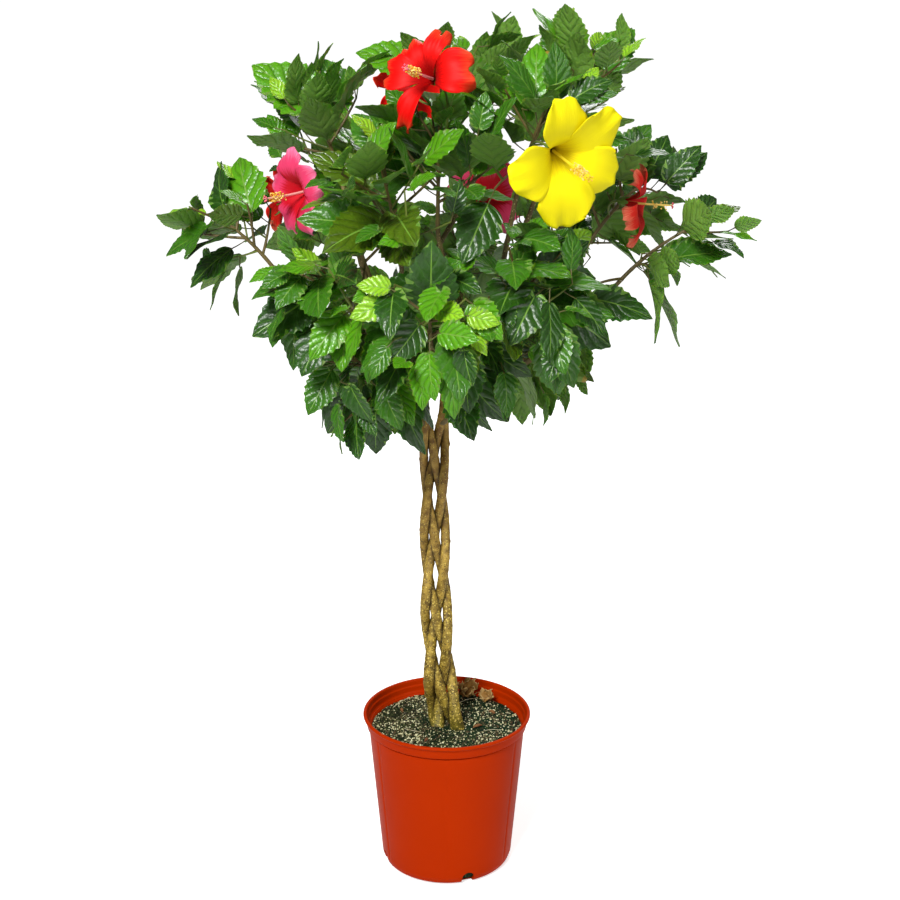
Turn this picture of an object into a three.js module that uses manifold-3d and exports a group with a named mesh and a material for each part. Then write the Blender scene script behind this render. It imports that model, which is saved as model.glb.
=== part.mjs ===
// A hibiscus grown as a small standard tree: a nursery pot of soil, four braided stems, and a round
// crown of leafy masses with large blooms. Millimetres, +Z up; the origin is the centre of the pot's
// underside and -Y is the front.
import * as THREE from "three";
import { mergeVertices } from "three/addons/utils/BufferGeometryUtils.js";
import Module from "manifold-3d";

const wasm = await Module();
wasm.setup();

// ---------------------------------------------------------------- driving dimensions

const clearGap = 0.3; // between pieces that touch on the real plant
const rimRadius = 127; // a 10 inch nursery pot
const potHeight = 241;
const potWall = 2.4;
const soilHeight = 219;

const stemCount = 4;
const forkHeight = 706; // where the braid opens
const leaderTop = 800; // where the stems have become boughs
const braidPitch = 494; // height in which a stem crosses the braid and comes back
const braidStart = -40; // degrees of that turn at the soil
const braidLean = -18; // sideways drift of the braid
const looseHeight = 650; // the plait starts to loosen towards its fork
const flareHeight = 45; // the root flare runs up the stems to here above the soil
const stemRadii = { foot: 8.4, low: 6.7, top: 5.5, end: 4.9 };
// The plait's path is a sum of harmonics of one turn, for stems of this radius.
const plait = { radius: 6.3, wide: 16, wideThird: 0.4, deep: 1.9, deepThird: 11, deepFifth: 2.4 };

const boughRadii = { foot: 4.6, tip: 3 };
const leafLength = 96; // a full-grown blade
const leafWidth = 66;
const leafThickness = 1.2;
const petioleLength = 28;
const nodeSpacing = 20; // along a shoot, between one leaf and the next
const leavesPerMass = 14; // at most
const twigMargin = 3; // between a twig's middle line and the wall of its cell

const degree = Math.PI / 180;
const goldenAngle = 137.508 * degree;
const up = new THREE.Vector3(0, 0, 1);
const trunkHead = new THREE.Vector3(braidLean, 0, forkHeight); // the crown spreads from here
const crownHeart = new THREE.Vector3(0, 0, 920); // leaves face away from here

// Each mass of foliage: its middle, half its length along its own stem, half its width across it,
// how many shoots it has, and the seed of its growth.
const masses = [
  { name: "top_right", middle: [175, 5, 1150], long: 140, wide: 115, shoots: 5, seed: 120 },
  { name: "top_middle", middle: [-10, -85, 1055], long: 135, wide: 135, shoots: 5, seed: 887 },
  { name: "top_left", middle: [-165, 0, 1095], long: 130, wide: 100, shoots: 5, seed: 275 },
  { name: "top_back", middle: [65, 150, 1135], long: 135, wide: 125, shoots: 5, seed: 837 },
  { name: "upper_right", middle: [245, 40, 995], long: 120, wide: 120, shoots: 5, seed: 164 },
  { name: "upper_left", middle: [-135, -25, 970], long: 150, wide: 115, shoots: 5, seed: 108 },
  { name: "upper_front_right", middle: [115, -140, 1105], long: 110, wide: 130, shoots: 5, seed: 643 },
  { name: "upper_front_left", middle: [-70, -185, 1015], long: 140, wide: 115, shoots: 5, seed: 224 },
  { name: "upper_back_right", middle: [180, 185, 950], long: 150, wide: 130, shoots: 5, seed: 681 },
  { name: "upper_back_left", middle: [-165, 175, 990], long: 140, wide: 125, shoots: 5, seed: 372 },
  { name: "right_spray", middle: [305, -5, 945], long: 140, wide: 100, shoots: 5, seed: 874 },
  { name: "left_spray", middle: [-285, -15, 960], long: 120, wide: 105, shoots: 5, seed: 264 },
  { name: "front_middle", middle: [-20, -240, 875], long: 110, wide: 115, shoots: 5, seed: 788 },
  { name: "front_right", middle: [95, -155, 895], long: 125, wide: 135, shoots: 5, seed: 678 },
  { name: "front_left", middle: [-135, -150, 900], long: 125, wide: 120, shoots: 5, seed: 862 },
  { name: "back_middle", middle: [35, 235, 895], long: 135, wide: 130, shoots: 5, seed: 16 },
  { name: "low_right", middle: [105, 15, 805], long: 130, wide: 120, shoots: 5, seed: 216 },
  { name: "low_left", middle: [-85, 50, 810], long: 110, wide: 125, shoots: 5, seed: 176 },
  { name: "low_front_right", middle: [30, -125, 830], long: 115, wide: 130, shoots: 5, seed: 143 },
  { name: "low_front_left", middle: [-90, -110, 785], long: 125, wide: 120, shoots: 5, seed: 750 },
  { name: "low_back_right", middle: [85, 145, 780], long: 130, wide: 120, shoots: 5, seed: 568 },
  { name: "low_back_left", middle: [-90, 140, 765], long: 125, wide: 120, shoots: 5, seed: 273 },
];

// Each bloom: the mass that carries it, where its throat is, the way it faces, a petal's length, and
// how deep the gaps between its petals are.
const blooms = [
  { mass: "upper_front_right", at: [128, -225, 1096], facing: [0.42, -0.85, -0.3], petal: 80, gaps: 0.14 },
  { mass: "top_middle", at: [-12, -150, 1170], facing: [-0.45, -0.85, 0.2], petal: 62, gaps: 0.42 },
  { mass: "upper_left", at: [-188, -85, 1030], facing: [-0.75, -0.6, -0.1], petal: 58, gaps: 0.2 },
  { mass: "upper_right", at: [262, -5, 1008], facing: [0.92, -0.3, -0.05], petal: 56, gaps: 0.2 },
  { mass: "back_middle", at: [60, 285, 990], facing: [0.3, 0.95, 0.05], petal: 70, gaps: 0.16 },
  { mass: "top_back", at: [-50, 190, 1150], facing: [-0.3, 0.9, 0.35], petal: 62, gaps: 0.42 },
  { mass: "upper_back_left", at: [-235, 190, 1000], facing: [-0.75, 0.65, 0], petal: 58, gaps: 0.2 },
];

// ---------------------------------------------------------------- materials

function paint(colour, roughness, metalness = 0) {
  return new THREE.MeshStandardMaterial({ color: colour, roughness, metalness });
}

const potPlastic = paint("#c4400f", 0.45);
const pottingSoil = paint("#3a3a30", 0.95);
const stemBark = paint("#8a7a44", 0.8);
const boughBark = paint("#6f6338", 0.8);
const leafGreen = paint("#2f6a1e", 0.4);

// ---------------------------------------------------------------- solids

// A closed three.js geometry as a solid that can be cut and joined.
function solid(geometry) {
  const bare = geometry.clone();
  bare.deleteAttribute("normal");
  bare.deleteAttribute("uv");
  const merged = mergeVertices(bare, 1e-4);
  return new wasm.Manifold(
    new wasm.Mesh({
      numProp: 3,
      vertProperties: merged.attributes.position.array,
      triVerts: new Uint32Array(merged.index.array),
    }),
  );
}

// The largest body of a solid, with loose scraps and sealed hollows left out.
function mainBody(shape) {
  return shape.decompose().reduce((most, body) => (body.volume() > most.volume() ? body : most));
}

function meshNode(name, shape, material) {
  const { vertProperties, triVerts } = shape.getMesh();
  const geometry = new THREE.BufferGeometry();
  geometry.setAttribute("position", new THREE.BufferAttribute(vertProperties, 3));
  geometry.setIndex(new THREE.BufferAttribute(triVerts, 1));
  geometry.computeVertexNormals();
  const mesh = new THREE.Mesh(geometry, material.clone());
  mesh.name = name;
  return mesh;
}

// A closed tube along a curve, its radius given by a function of the share of the way along.
function bentTube(curve, radiusAt, sides, rings) {
  const tube = new THREE.CylinderGeometry(1, 1, 1, sides, rings);
  const frames = curve.computeFrenetFrames(rings);
  const position = tube.attributes.position;
  const vertex = new THREE.Vector3();
  for (let i = 0; i < position.count; i++) {
    vertex.fromBufferAttribute(position, i);
    const ring = Math.round((vertex.y + 0.5) * rings);
    const radius = radiusAt(ring / rings);
    const point = curve
      .getPoint(ring / rings)
      .addScaledVector(frames.normals[ring], vertex.z * radius)
      .addScaledVector(frames.binormals[ring], vertex.x * radius);
    position.setXYZ(i, point.x, point.y, point.z);
  }
  return solid(tube);
}

// ---------------------------------------------------------------- pot and soil

const grooveCount = 6; // shallow upright grooves moulded in the pot's wall
const grooveDepth = 1.2;
const potSegments = 30; // a multiple of the grooves, so each has its own corner
const bandFoot = 219; // the wall steps out here to the rim band
const notchCount = 4; // arched drain notches round the foot
const firstNotch = -71; // degrees round from +X

// Presses the upright grooves into a lathed shape.
function groove(geometry) {
  const position = geometry.attributes.position;
  for (let i = 0; i < position.count; i++) {
    const [x, y, z] = [position.getX(i), position.getY(i), position.getZ(i)];
    const turn = Math.atan2(y, x) / (2 * Math.PI) + 0.25;
    const offGroove = Math.abs(turn * grooveCount - Math.round(turn * grooveCount));
    if (z > 10 && z < bandFoot - 2 && offGroove < 0.04) {
      const radius = Math.hypot(x, y);
      position.setXY(i, x * (1 - grooveDepth / radius), y * (1 - grooveDepth / radius));
    }
  }
  return geometry;
}

function lathed(profile) {
  const points = profile.map(([radius, height]) => new THREE.Vector2(radius, height));
  return groove(new THREE.LatheGeometry(points, potSegments).rotateX(Math.PI / 2));
}

// An arched drain notch through the pot's foot, cut along +X and turned to its place.
function drainNotch(angle) {
  const [halfWidth, height] = [10, 16];
  const arch = new THREE.Shape();
  arch.moveTo(-halfWidth, -5);
  arch.lineTo(halfWidth, -5);
  arch.lineTo(halfWidth, height - halfWidth);
  arch.absarc(0, height - halfWidth, halfWidth, 0, Math.PI);
  const cutter = new THREE.ExtrudeGeometry(arch, { depth: 30, bevelEnabled: false, curveSegments: 4 });
  cutter.rotateX(Math.PI / 2).rotateZ(Math.PI / 2).translate(82, 0, 0);
  return solid(cutter.rotateZ(angle));
}

function potSolid() {
  const foot = [[0, 0], [91, 0], [97, 4], [100, 12]];
  const band = [[117.5, bandFoot - 5], [121.5, bandFoot], [123.5, potHeight - 6]];
  const lip = [[rimRadius, 237.5], [rimRadius, 239.5], [rimRadius - 1.5, potHeight], [122.5, potHeight]];
  const inner = [[121, 237], [119, bandFoot + 2], [114.8, bandFoot - 4], [97.5, 13], [88, potWall]];
  let pot = solid(lathed([...foot, ...band, ...lip, ...inner, [0, potWall]]));
  for (let i = 0; i < notchCount; i++) {
    pot = pot.subtract(drainNotch((firstNotch + (360 / notchCount) * i) * degree));
  }
  return mainBody(pot);
}

function soilSolid() {
  const gap = clearGap + 0.2;
  const under = [[0, potWall + gap], [88 - gap, potWall + gap]];
  const wall = [[97.5 - gap, 13.2], [114.6 - gap, bandFoot - 4.2]];
  const top = [[80, soilHeight - 1.5], [60, soilHeight], [0, soilHeight]];
  return solid(lathed([...under, ...wall, ...top]));
}

// ---------------------------------------------------------------- braided stems

function stemRadius(z) {
  const share = (z - soilHeight) / (forkHeight - soilHeight);
  const flare = Math.max(0, 1 - (z - soilHeight) / flareHeight) ** 2;
  const above = Math.max(0, (z - forkHeight) / (leaderTop - forkHeight));
  return (
    mix(stemRadii.low, stemRadii.top, Math.min(1, share)) +
    (stemRadii.foot - stemRadii.low) * flare -
    (stemRadii.top - stemRadii.end) * above
  );
}

// The centre line of one stem: a tight plait of four, which opens into four leading boughs.
function stemPoint(stem, z) {
  const braided = Math.min(z, forkHeight);
  const turn = (braidStart + (360 * (braided - soilHeight)) / braidPitch + 90 * stem) * degree;
  const head = Math.max(0, (z - looseHeight) / (forkHeight - looseHeight));
  const spread = (stemRadius(braided) / plait.radius) * 1.03 + 0.16 * head + 0.1 * head * head;
  const lean = braidLean * (1 - Math.exp(-(z - soilHeight) / (2 * flareHeight)));
  const x = plait.wide * Math.sin(turn) - plait.wideThird * Math.sin(3 * turn);
  const y =
    plait.deepThird * Math.cos(3 * turn) -
    plait.deep * Math.cos(turn) -
    plait.deepFifth * Math.cos(5 * turn);
  return new THREE.Vector3(lean + x * spread, y * spread, z);
}

class StemCurve extends THREE.Curve {
  constructor(stem) {
    super();
    this.stem = stem;
  }
  getPoint(t, target = new THREE.Vector3()) {
    const foot = soilHeight + clearGap;
    return target.copy(stemPoint(this.stem, foot + t * (leaderTop - foot)));
  }
}

// A stem, or its shape grown by a gap to cut its neighbours clear.
function stemSolid(stem, gap = 0) {
  const [sides, rings] = [7, 26];
  const foot = soilHeight + clearGap;
  const radius = (t) => stemRadius(foot + t * (leaderTop - foot)) + gap;
  return bentTube(new StemCurve(stem), radius, sides, rings).trimByPlane([0, 0, 1], foot - gap);
}

// ---------------------------------------------------------------- growth rule

// Repeatable numbers from 0 to 1.
function seededRandom(seed) {
  let state = (seed * 69621 + 12345) % 2147483647;
  const next = () => {
    state = (state * 48271) % 2147483647;
    return state / 2147483647;
  };
  next();
  next();
  return next;
}

const mix = (a, b, t) => a + (b - a) * t;

// Two unit vectors across a direction.
function across(direction) {
  const other = Math.abs(direction.z) < 0.95 ? up : new THREE.Vector3(1, 0, 0);
  const side = new THREE.Vector3().crossVectors(direction, other).normalize();
  return [side, new THREE.Vector3().crossVectors(side, direction)];
}

// A direction opened from an axis by one angle and turned round it by another.
function openedFrom(axis, open, around) {
  const [side, other] = across(axis);
  return axis
    .clone()
    .multiplyScalar(Math.cos(open))
    .addScaledVector(side, Math.sin(open) * Math.cos(around))
    .addScaledVector(other, Math.sin(open) * Math.sin(around))
    .normalize();
}

// How far out a point is in a mass's egg shape: 1 is on its skin.
function eggShare(mass, point) {
  const offset = point.clone().sub(mass.centre);
  const along = offset.dot(mass.axis);
  const aside = offset.addScaledVector(mass.axis, -along).length();
  return Math.hypot(along / mass.long, aside / mass.wide);
}

// Flat walls between the masses leave each its own part of the crown.
function inOwnCell(mass, point, margin = clearGap) {
  const own = point.distanceToSquared(mass.centre) - mass.wide * mass.wide;
  return masses.every((other) => {
    if (other === mass) {
      return true;
    }
    const theirs = point.distanceToSquared(other.centre) - other.wide * other.wide;
    return own + 2 * margin * mass.centre.distanceTo(other.centre) < theirs;
  });
}

// How far a twig can run from a point before it reaches a limit or a wall of its mass's cell.
function roomAlong(mass, start, heading, limit) {
  const step = 4;
  let length = 0;
  while (length + step <= limit) {
    const ahead = start.clone().addScaledVector(heading, length + step);
    if (!inOwnCell(mass, ahead, twigMargin)) {
      break;
    }
    length += step;
  }
  return length;
}

// A bough leaves the stem nearest its side, the lowest masses' boughs first, and ends where it
// enters its mass.
function layBoughs() {
  for (const mass of masses) {
    mass.centre = new THREE.Vector3(...mass.middle);
    mass.axis = mass.centre.clone().sub(trunkHead).normalize();
  }
  const taken = Array(stemCount).fill(0);
  const rise = (mass) => mass.axis.z;
  for (const mass of [...masses].sort((a, b) => rise(a) - rise(b))) {
    const cost = (stem) => {
      const leader = stemPoint(stem, leaderTop);
      return leader.distanceTo(mass.centre.clone().setZ(leaderTop)) + 14 * taken[stem];
    };
    const stem = [...Array(stemCount).keys()].reduce((best, k) => (cost(k) < cost(best) ? k : best));
    const height = Math.min(leaderTop - 4, forkHeight - 12 + 20 * taken[stem]);
    taken[stem] += 1;
    const foot = stemPoint(stem, height);
    const back = mass.axis.clone().negate();
    const inside = roomAlong(mass, mass.centre, back, 0.55 * mass.long);
    const tip = mass.centre.clone().addScaledVector(back, inside);
    const span = tip.distanceTo(foot);
    const leave = foot.clone().sub(new THREE.Vector3(braidLean, 0, height)).normalize();
    leave.addScaledVector(mass.axis, 0.8).addScaledVector(up, 0.35).normalize();
    const arrive = mass.axis.clone().addScaledVector(up, 0.3).normalize();
    mass.bough = new THREE.CubicBezierCurve3(
      foot,
      foot.clone().addScaledVector(leave, span * 0.4),
      tip.clone().addScaledVector(arrive, -span * 0.3),
      tip,
    );
    mass.boughPoints = mass.bough.getPoints(14);
  }
}

// The mass's own stem carries on from the bough's tip.
function massStem(mass) {
  const heading = mass.bough.getTangent(1);
  const foot = mass.bough.getPoint(1).addScaledVector(heading, clearGap);
  const ahead = roomAlong(mass, mass.centre, mass.axis, 0.45 * mass.long);
  const end = mass.centre.clone().addScaledVector(mass.axis, ahead);
  const bend = foot.clone().addScaledVector(heading, foot.distanceTo(end) * 0.5);
  return new THREE.QuadraticBezierCurve3(foot, bend, end);
}

// The side shoots of a mass: they leave its stem by the golden angle, wide at its foot and along it
// at its end, and stop where their last leaves reach its skin.
function massShoots(mass, stem, random) {
  const shoots = [stem];
  const low = THREE.MathUtils.clamp((1000 - mass.centre.z) / 260, 0, 1);
  for (let i = 0; i < mass.shoots; i++) {
    const share = (i + 1) / (mass.shoots + 1);
    const start = stem.getPoint(0.08 + 0.85 * share);
    const around = i * goldenAngle + random() * 0.8 + mass.seed;
    const open = mix(85, 40, share) * degree + (random() - 0.5) * 0.3;
    const heading = openedFrom(mass.axis, open, around);
    heading.addScaledVector(up, mix(0.3, -0.1, low)).normalize();
    let reach = 16;
    while (eggShare(mass, start.clone().addScaledVector(heading, reach)) < 0.62) {
      reach += 4;
    }
    const length = roomAlong(mass, start, heading, reach);
    const bend = start.clone().addScaledVector(heading, length * 0.5);
    const end = start.clone().addScaledVector(heading, length).addScaledVector(mass.axis, length * 0.12);
    const shoot = new THREE.QuadraticBezierCurve3(start, bend, end);
    const outer = shoot.getPoints(8).slice(2);
    const isFree = (at) => inOwnCell(mass, at, twigMargin) && !touchesLimb(at) && !inBloom(at);
    const clear = outer.every(isFree);
    if (length > 16 && clear) {
      shoots.push(shoot);
    }
  }
  return shoots;
}

// Where each leaf of a shoot sits and how it hangs; the youngest is at the tip. A leaf that finds no
// room is turned, and made smaller, up to three times before it is left out.
function shootLeaves(mass, shoot, twigs, leaves, random) {
  const length = shoot.getPoint(0).distanceTo(shoot.getPoint(1));
  const count = Math.max(3, Math.round((length * 0.85) / nodeSpacing));
  const turn = random() * 2 * Math.PI;
  for (let k = 0; k < count; k++) {
    const t = 0.98 - (0.83 * k) / count;
    const node = shoot.getPoint(t);
    const age = Math.min(1, 0.4 + 0.22 * k);
    const jitter = [random(), random(), random(), random()];
    for (let attempt = 0; attempt < 4; attempt++) {
      const around = turn + k * goldenAngle + attempt * 1.6;
      const size = age * (0.85 + 0.3 * jitter[3]) * (1 - 0.08 * attempt);
      const leaf = hangLeaf(node, shoot.getTangent(t), around, age, size, jitter);
      if (leafFits(mass, leaf, twigs, leaves)) {
        leaves.push(leaf);
        break;
      }
    }
  }
}

function hangLeaf(node, along, around, age, size, jitter) {
  const open = mix(28, 68, age) * degree + (jitter[0] - 0.5) * 0.3;
  const away = openedFrom(along, open, around);
  const low = THREE.MathUtils.clamp((1150 - node.z) / 330, 0, 1); // leaves hang more lower down
  const base = node.clone().addScaledVector(away, petioleLength * size * (0.75 + 0.5 * jitter[1]));
  const outward = node.clone().sub(crownHeart).normalize();
  const heading = away
    .clone()
    .addScaledVector(outward, 0.3)
    .addScaledVector(up, -mix(-0.4, 1.25, low) * age)
    .normalize();
  const facing = outward.clone().addScaledVector(up, mix(1.1, 0.5, low));
  facing.addScaledVector(heading, -facing.dot(heading)).normalize();
  facing.applyAxisAngle(heading, (jitter[2] - 0.5) * 1.1);
  return { node, base, heading, facing, size };
}

// The corners of a blade: shoulders, flanks and tip, folded up at the midrib and curved to the tip.
function bladeCorners(leaf) {
  const side = new THREE.Vector3().crossVectors(leaf.heading, leaf.facing);
  const at = (x, y, z) =>
    leaf.base
      .clone()
      .addScaledVector(side, (x * leafWidth * leaf.size) / 2)
      .addScaledVector(leaf.heading, y * leafLength * leaf.size)
      .addScaledVector(leaf.facing, z * leafLength * leaf.size);
  return {
    left: at(-1, 0.28, 0.07),
    right: at(1, 0.28, 0.07),
    leftFlank: at(-0.66, 0.68, 0),
    rightFlank: at(0.66, 0.68, 0),
    tip: at(0, 1, -0.12),
    middle: at(0, 0.42, 0),
  };
}

// True where a point is nearer to a limb than its bark and the gap.
function touchesLimb(point) {
  for (let stem = 0; stem < stemCount && point.z < leaderTop + 6; stem++) {
    if (point.distanceTo(stemPoint(stem, point.z)) < stemRadius(point.z) + 3) {
      return true;
    }
  }
  const nearBough = (spot) => spot.distanceTo(point) < boughRadii.foot + 4;
  return masses.some((mass) => mass.boughPoints.some(nearBough));
}

// True where a point is in the space that a bloom opens into.
function inBloom(point) {
  return blooms.some((bloom) => {
    const mouth = new THREE.Vector3(...bloom.at).addScaledVector(bloom.way, bloom.petal * 0.5);
    return mouth.distanceTo(point) < bloom.petal * 1.06;
  });
}

// The straight stretches between one point and the next.
function stretches(points) {
  return points.slice(1).map((point, i) => [points[i], point]);
}

// True where a straight stretch passes through a triangle.
function pierces([from, to], [a, b, c]) {
  const ray = new THREE.Ray(from, to.clone().sub(from).normalize());
  const hit = ray.intersectTriangle(a, b, c, false, new THREE.Vector3());
  return hit !== null && from.distanceTo(hit) < from.distanceTo(to);
}

// A leaf's edges and faces, to see whether it passes through another leaf or a twig.
function outlineLeaf(leaf) {
  const { left, right, leftFlank, rightFlank, tip, middle } = bladeCorners(leaf);
  const rim = [leaf.base, left, leftFlank, tip, rightFlank, right, leaf.base];
  leaf.corners = [left, right, leftFlank, rightFlank, tip, middle];
  leaf.edges = [...stretches(rim), ...stretches([leaf.node, leaf.base, middle, tip])];
  leaf.faces = stretches(rim).map(([from, to]) => [middle, from, to]);
  return leaf;
}

function leafFits(mass, leaf, twigs, placed) {
  const { corners, edges, faces } = outlineLeaf(leaf);
  const kept = (at) => eggShare(mass, at) < 1 && inOwnCell(mass, at);
  if (!inOwnCell(mass, leaf.node) || !corners.every(kept)) {
    return false;
  }
  const between = corners.map((corner) => corner.clone().lerp(leaf.base, 0.5));
  if ([...corners, ...between].some((point) => touchesLimb(point) || inBloom(point))) {
    return false;
  }
  const crossed = (some, others) => some.some((edge) => others.some((face) => pierces(edge, face)));
  const clash = (other) => crossed(edges, other.faces) || crossed(other.edges, faces);
  const near = placed.filter((other) => other.corners[5].distanceTo(corners[5]) < leafLength * 1.6);
  return !crossed(twigs, faces) && !near.some(clash);
}

// One mass from its seed: its stem, all its shoots, and the leaves spread evenly among those that fit.
function growMass(mass) {
  const random = seededRandom(mass.seed);
  const stem = massStem(mass);
  const shoots = massShoots(mass, stem, random);
  const twigs = shoots.flatMap((shoot) => stretches(shoot.getPoints(4)));
  const all = [];
  for (const shoot of shoots) {
    shootLeaves(mass, shoot, twigs, all, random);
  }
  const skipped = Math.max(0, all.length - leavesPerMass) / all.length;
  const leaves = all.filter((_, i) => Math.floor((i + 1) * skipped) === Math.floor(i * skipped));
  return { stem, shoots, leaves };
}

// ---------------------------------------------------------------- leaves and blooms

// A leaf as one closed shape: a three-sided stalk sunk in its twig, and a thin blade.
function leafSolid(leaf) {
  const [left, right, leftFlank, rightFlank, tip, middle] = leaf.corners;
  const side = new THREE.Vector3().crossVectors(leaf.heading, leaf.facing);
  const ring = (centre, half) => [
    centre.clone().addScaledVector(side, -half).addScaledVector(leaf.facing, half * 0.5),
    centre.clone().addScaledVector(side, half).addScaledVector(leaf.facing, half * 0.5),
    centre.clone().addScaledVector(leaf.facing, -half),
  ];
  const keel = middle.clone().addScaledVector(leaf.facing, -leafThickness);
  const stalk = [...ring(leaf.node, 0.6), ...ring(leaf.base, 1.1)];
  const points = [...stalk, left, leftFlank, tip, rightFlank, right, middle, keel];
  const outline = [3, 6, 7, 8, 9, 10, 4]; // down one edge of the blade and back up the other
  const [top, under] = [11, 12];
  const faces = [[0, 1, 2], [0, 3, 4], [0, 4, 1], [1, 4, 5], [1, 5, 2], [2, 5, 3], [2, 3, 0]];
  faces.push([4, 3, top], [3, 5, under], [5, 4, under]);
  for (let i = 0; i < outline.length - 1; i++) {
    faces.push([outline[i], outline[i + 1], top], [outline[i + 1], outline[i], under]);
  }
  return facedSolid(points, faces);
}

// A closed shape from its corners and triangles, turned the right way out.
function facedSolid(points, faces) {
  const geometry = new THREE.BufferGeometry();
  const numbers = points.flatMap((point) => point.toArray());
  geometry.setAttribute("position", new THREE.Float32BufferAttribute(numbers, 3));
  geometry.setIndex(faces.flat());
  const made = solid(geometry);
  if (made.volume() > 0) {
    return made;
  }
  return solid(geometry.setIndex(faces.flatMap(([a, b, c]) => [a, c, b])));
}

// The open flower: a funnel of five broad petals as one thin closed shape.
function corollaSolid(bloom) {
  const throat = new THREE.Vector3(...bloom.at);
  const [side, other] = across(bloom.way);
  const at = (turn, radius, height) =>
    throat
      .clone()
      .addScaledVector(side, Math.cos(turn) * radius * bloom.petal)
      .addScaledVector(other, Math.sin(turn) * radius * bloom.petal)
      .addScaledVector(bloom.way, height * bloom.petal);
  const rimCount = 20;
  const points = [];
  for (let i = 0; i < rimCount; i++) {
    const turn = (i / rimCount) * 2 * Math.PI;
    const petalShare = 0.5 + 0.5 * Math.cos(5 * turn); // 1 on a petal's middle, 0 between two petals
    const radius = 1 - bloom.gaps * (1 - petalShare);
    points.push(at(turn, radius, 0.3 + 0.05 * Math.cos(10 * turn)));
  }
  const ringCount = 5;
  for (let i = 0; i < ringCount; i++) {
    points.push(at(((i + 0.5) / ringCount) * 2 * Math.PI, 0.36, 0.22));
  }
  for (let i = 0; i < ringCount; i++) {
    points.push(at(((i + 0.5) / ringCount) * 2 * Math.PI, 0.36, 0.17));
  }
  points.push(at(0, 0, 0), at(0, 0, -0.2));
  const [upper, lower, centre, foot] = [rimCount, rimCount + ringCount, points.length - 2, points.length - 1];
  const faces = [];
  for (let petal = 0; petal < ringCount; petal++) {
    const before = (petal + ringCount - 1) % ringCount;
    for (const [ring, tip, flip] of [[upper, centre, false], [lower, foot, true]]) {
      const fan = [[ring + before, ring + petal, tip]];
      for (let i = -2; i < 2; i++) {
        const from = (petal * 4 + i + rimCount) % rimCount;
        fan.push([from, (from + 1) % rimCount, i < 0 ? ring + before : ring + petal]);
      }
      fan.push([petal * 4, ring + petal, ring + before]);
      faces.push(...fan.map(([a, b, c]) => (flip ? [a, c, b] : [a, b, c])));
    }
  }
  return facedSolid(points, faces);
}

// A bloom: the corolla, the long column that stands out of its throat, and its stalk.
function bloomSolids(bloom, stem) {
  const throat = new THREE.Vector3(...bloom.at);
  const back = throat.clone().addScaledVector(bloom.way, -bloom.petal * 0.26);
  const start = stem.getPoint(0.4);
  const bend = back.clone().addScaledVector(bloom.way, -start.distanceTo(back) * 0.4);
  const stalkCurve = new THREE.QuadraticBezierCurve3(start, bend, throat);
  const stalk = bentTube(stalkCurve, (t) => mix(1.5, 3, t ** 6), 3, 4);
  const columnEnd = throat.clone().addScaledVector(bloom.way, bloom.petal * 0.95);
  const column = bentTube(new THREE.LineCurve3(back, columnEnd), () => 2.2, 4, 1);
  return [corollaSolid(bloom), stalk, column];
}

// ---------------------------------------------------------------- assembly

const plant = new THREE.Group();
plant.add(meshNode("pot", potSolid(), potPlastic));
plant.add(meshNode("soil", soilSolid(), pottingSoil));

const grownStems = [];
for (let stem = 0; stem < stemCount; stem++) {
  let shape = stemSolid(stem);
  for (const neighbour of grownStems) {
    shape = shape.subtract(neighbour);
  }
  grownStems.push(stemSolid(stem, clearGap));
  plant.add(meshNode(`braided_stem_${stem + 1}`, mainBody(shape), stemBark));
}

for (const bloom of blooms) {
  bloom.way = new THREE.Vector3(...bloom.facing).normalize();
}

layBoughs();
const grownBoughs = [];
for (const mass of masses) {
  const radius = (gap) => (t) => mix(boughRadii.foot, boughRadii.tip, t) + gap;
  let shape = bentTube(mass.bough, radius(0), 5, 5);
  for (const limb of [...grownStems, ...grownBoughs]) {
    shape = shape.subtract(limb);
  }
  grownBoughs.push(bentTube(mass.bough, radius(clearGap), 5, 5));
  plant.add(meshNode(`bough_${mass.name}`, mainBody(shape), boughBark));
}

for (const mass of masses) {
  const { stem, shoots, leaves } = growMass(mass);
  const pieces = shoots.map((shoot) => {
    const [thick, sides, rings] = shoot === stem ? [boughRadii.tip, 4, 3] : [2.2, 3, 2];
    return bentTube(shoot, (t) => mix(thick, 1.6, t), sides, rings);
  });
  pieces.push(...leaves.map(leafSolid));
  for (const bloom of blooms.filter((each) => each.mass === mass.name)) {
    pieces.push(...bloomSolids(bloom, stem));
  }
  let shape = wasm.Manifold.union(pieces).asOriginal().simplify(0.1);
  for (const limb of [...grownStems, ...grownBoughs]) {
    shape = shape.subtract(limb);
  }
  plant.add(meshNode(`foliage_${mass.name}`, mainBody(shape), leafGreen));
}

export default plant;
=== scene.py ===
"""A hibiscus grown as a small standard tree: the looks of its pot, braided stems, crown and blooms.

Sizes are in millimetres until a piece is made, +Z is up and the plant is seen from -Y.
"""

import math

import bmesh
import bpy
import numpy as np
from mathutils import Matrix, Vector, noise


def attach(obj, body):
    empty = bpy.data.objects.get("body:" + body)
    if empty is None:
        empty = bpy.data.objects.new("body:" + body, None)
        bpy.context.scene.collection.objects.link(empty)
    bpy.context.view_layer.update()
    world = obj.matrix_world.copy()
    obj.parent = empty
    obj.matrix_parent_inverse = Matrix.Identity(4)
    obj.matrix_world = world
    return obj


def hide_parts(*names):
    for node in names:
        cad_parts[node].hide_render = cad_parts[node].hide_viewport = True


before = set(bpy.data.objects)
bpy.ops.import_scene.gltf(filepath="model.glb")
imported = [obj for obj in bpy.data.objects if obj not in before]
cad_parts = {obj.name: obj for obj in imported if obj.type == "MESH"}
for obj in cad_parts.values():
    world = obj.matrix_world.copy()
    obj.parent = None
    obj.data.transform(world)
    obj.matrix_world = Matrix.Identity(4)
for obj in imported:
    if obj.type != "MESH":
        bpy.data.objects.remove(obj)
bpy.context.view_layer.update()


# ---------------------------------------------------------------- the pot

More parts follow.
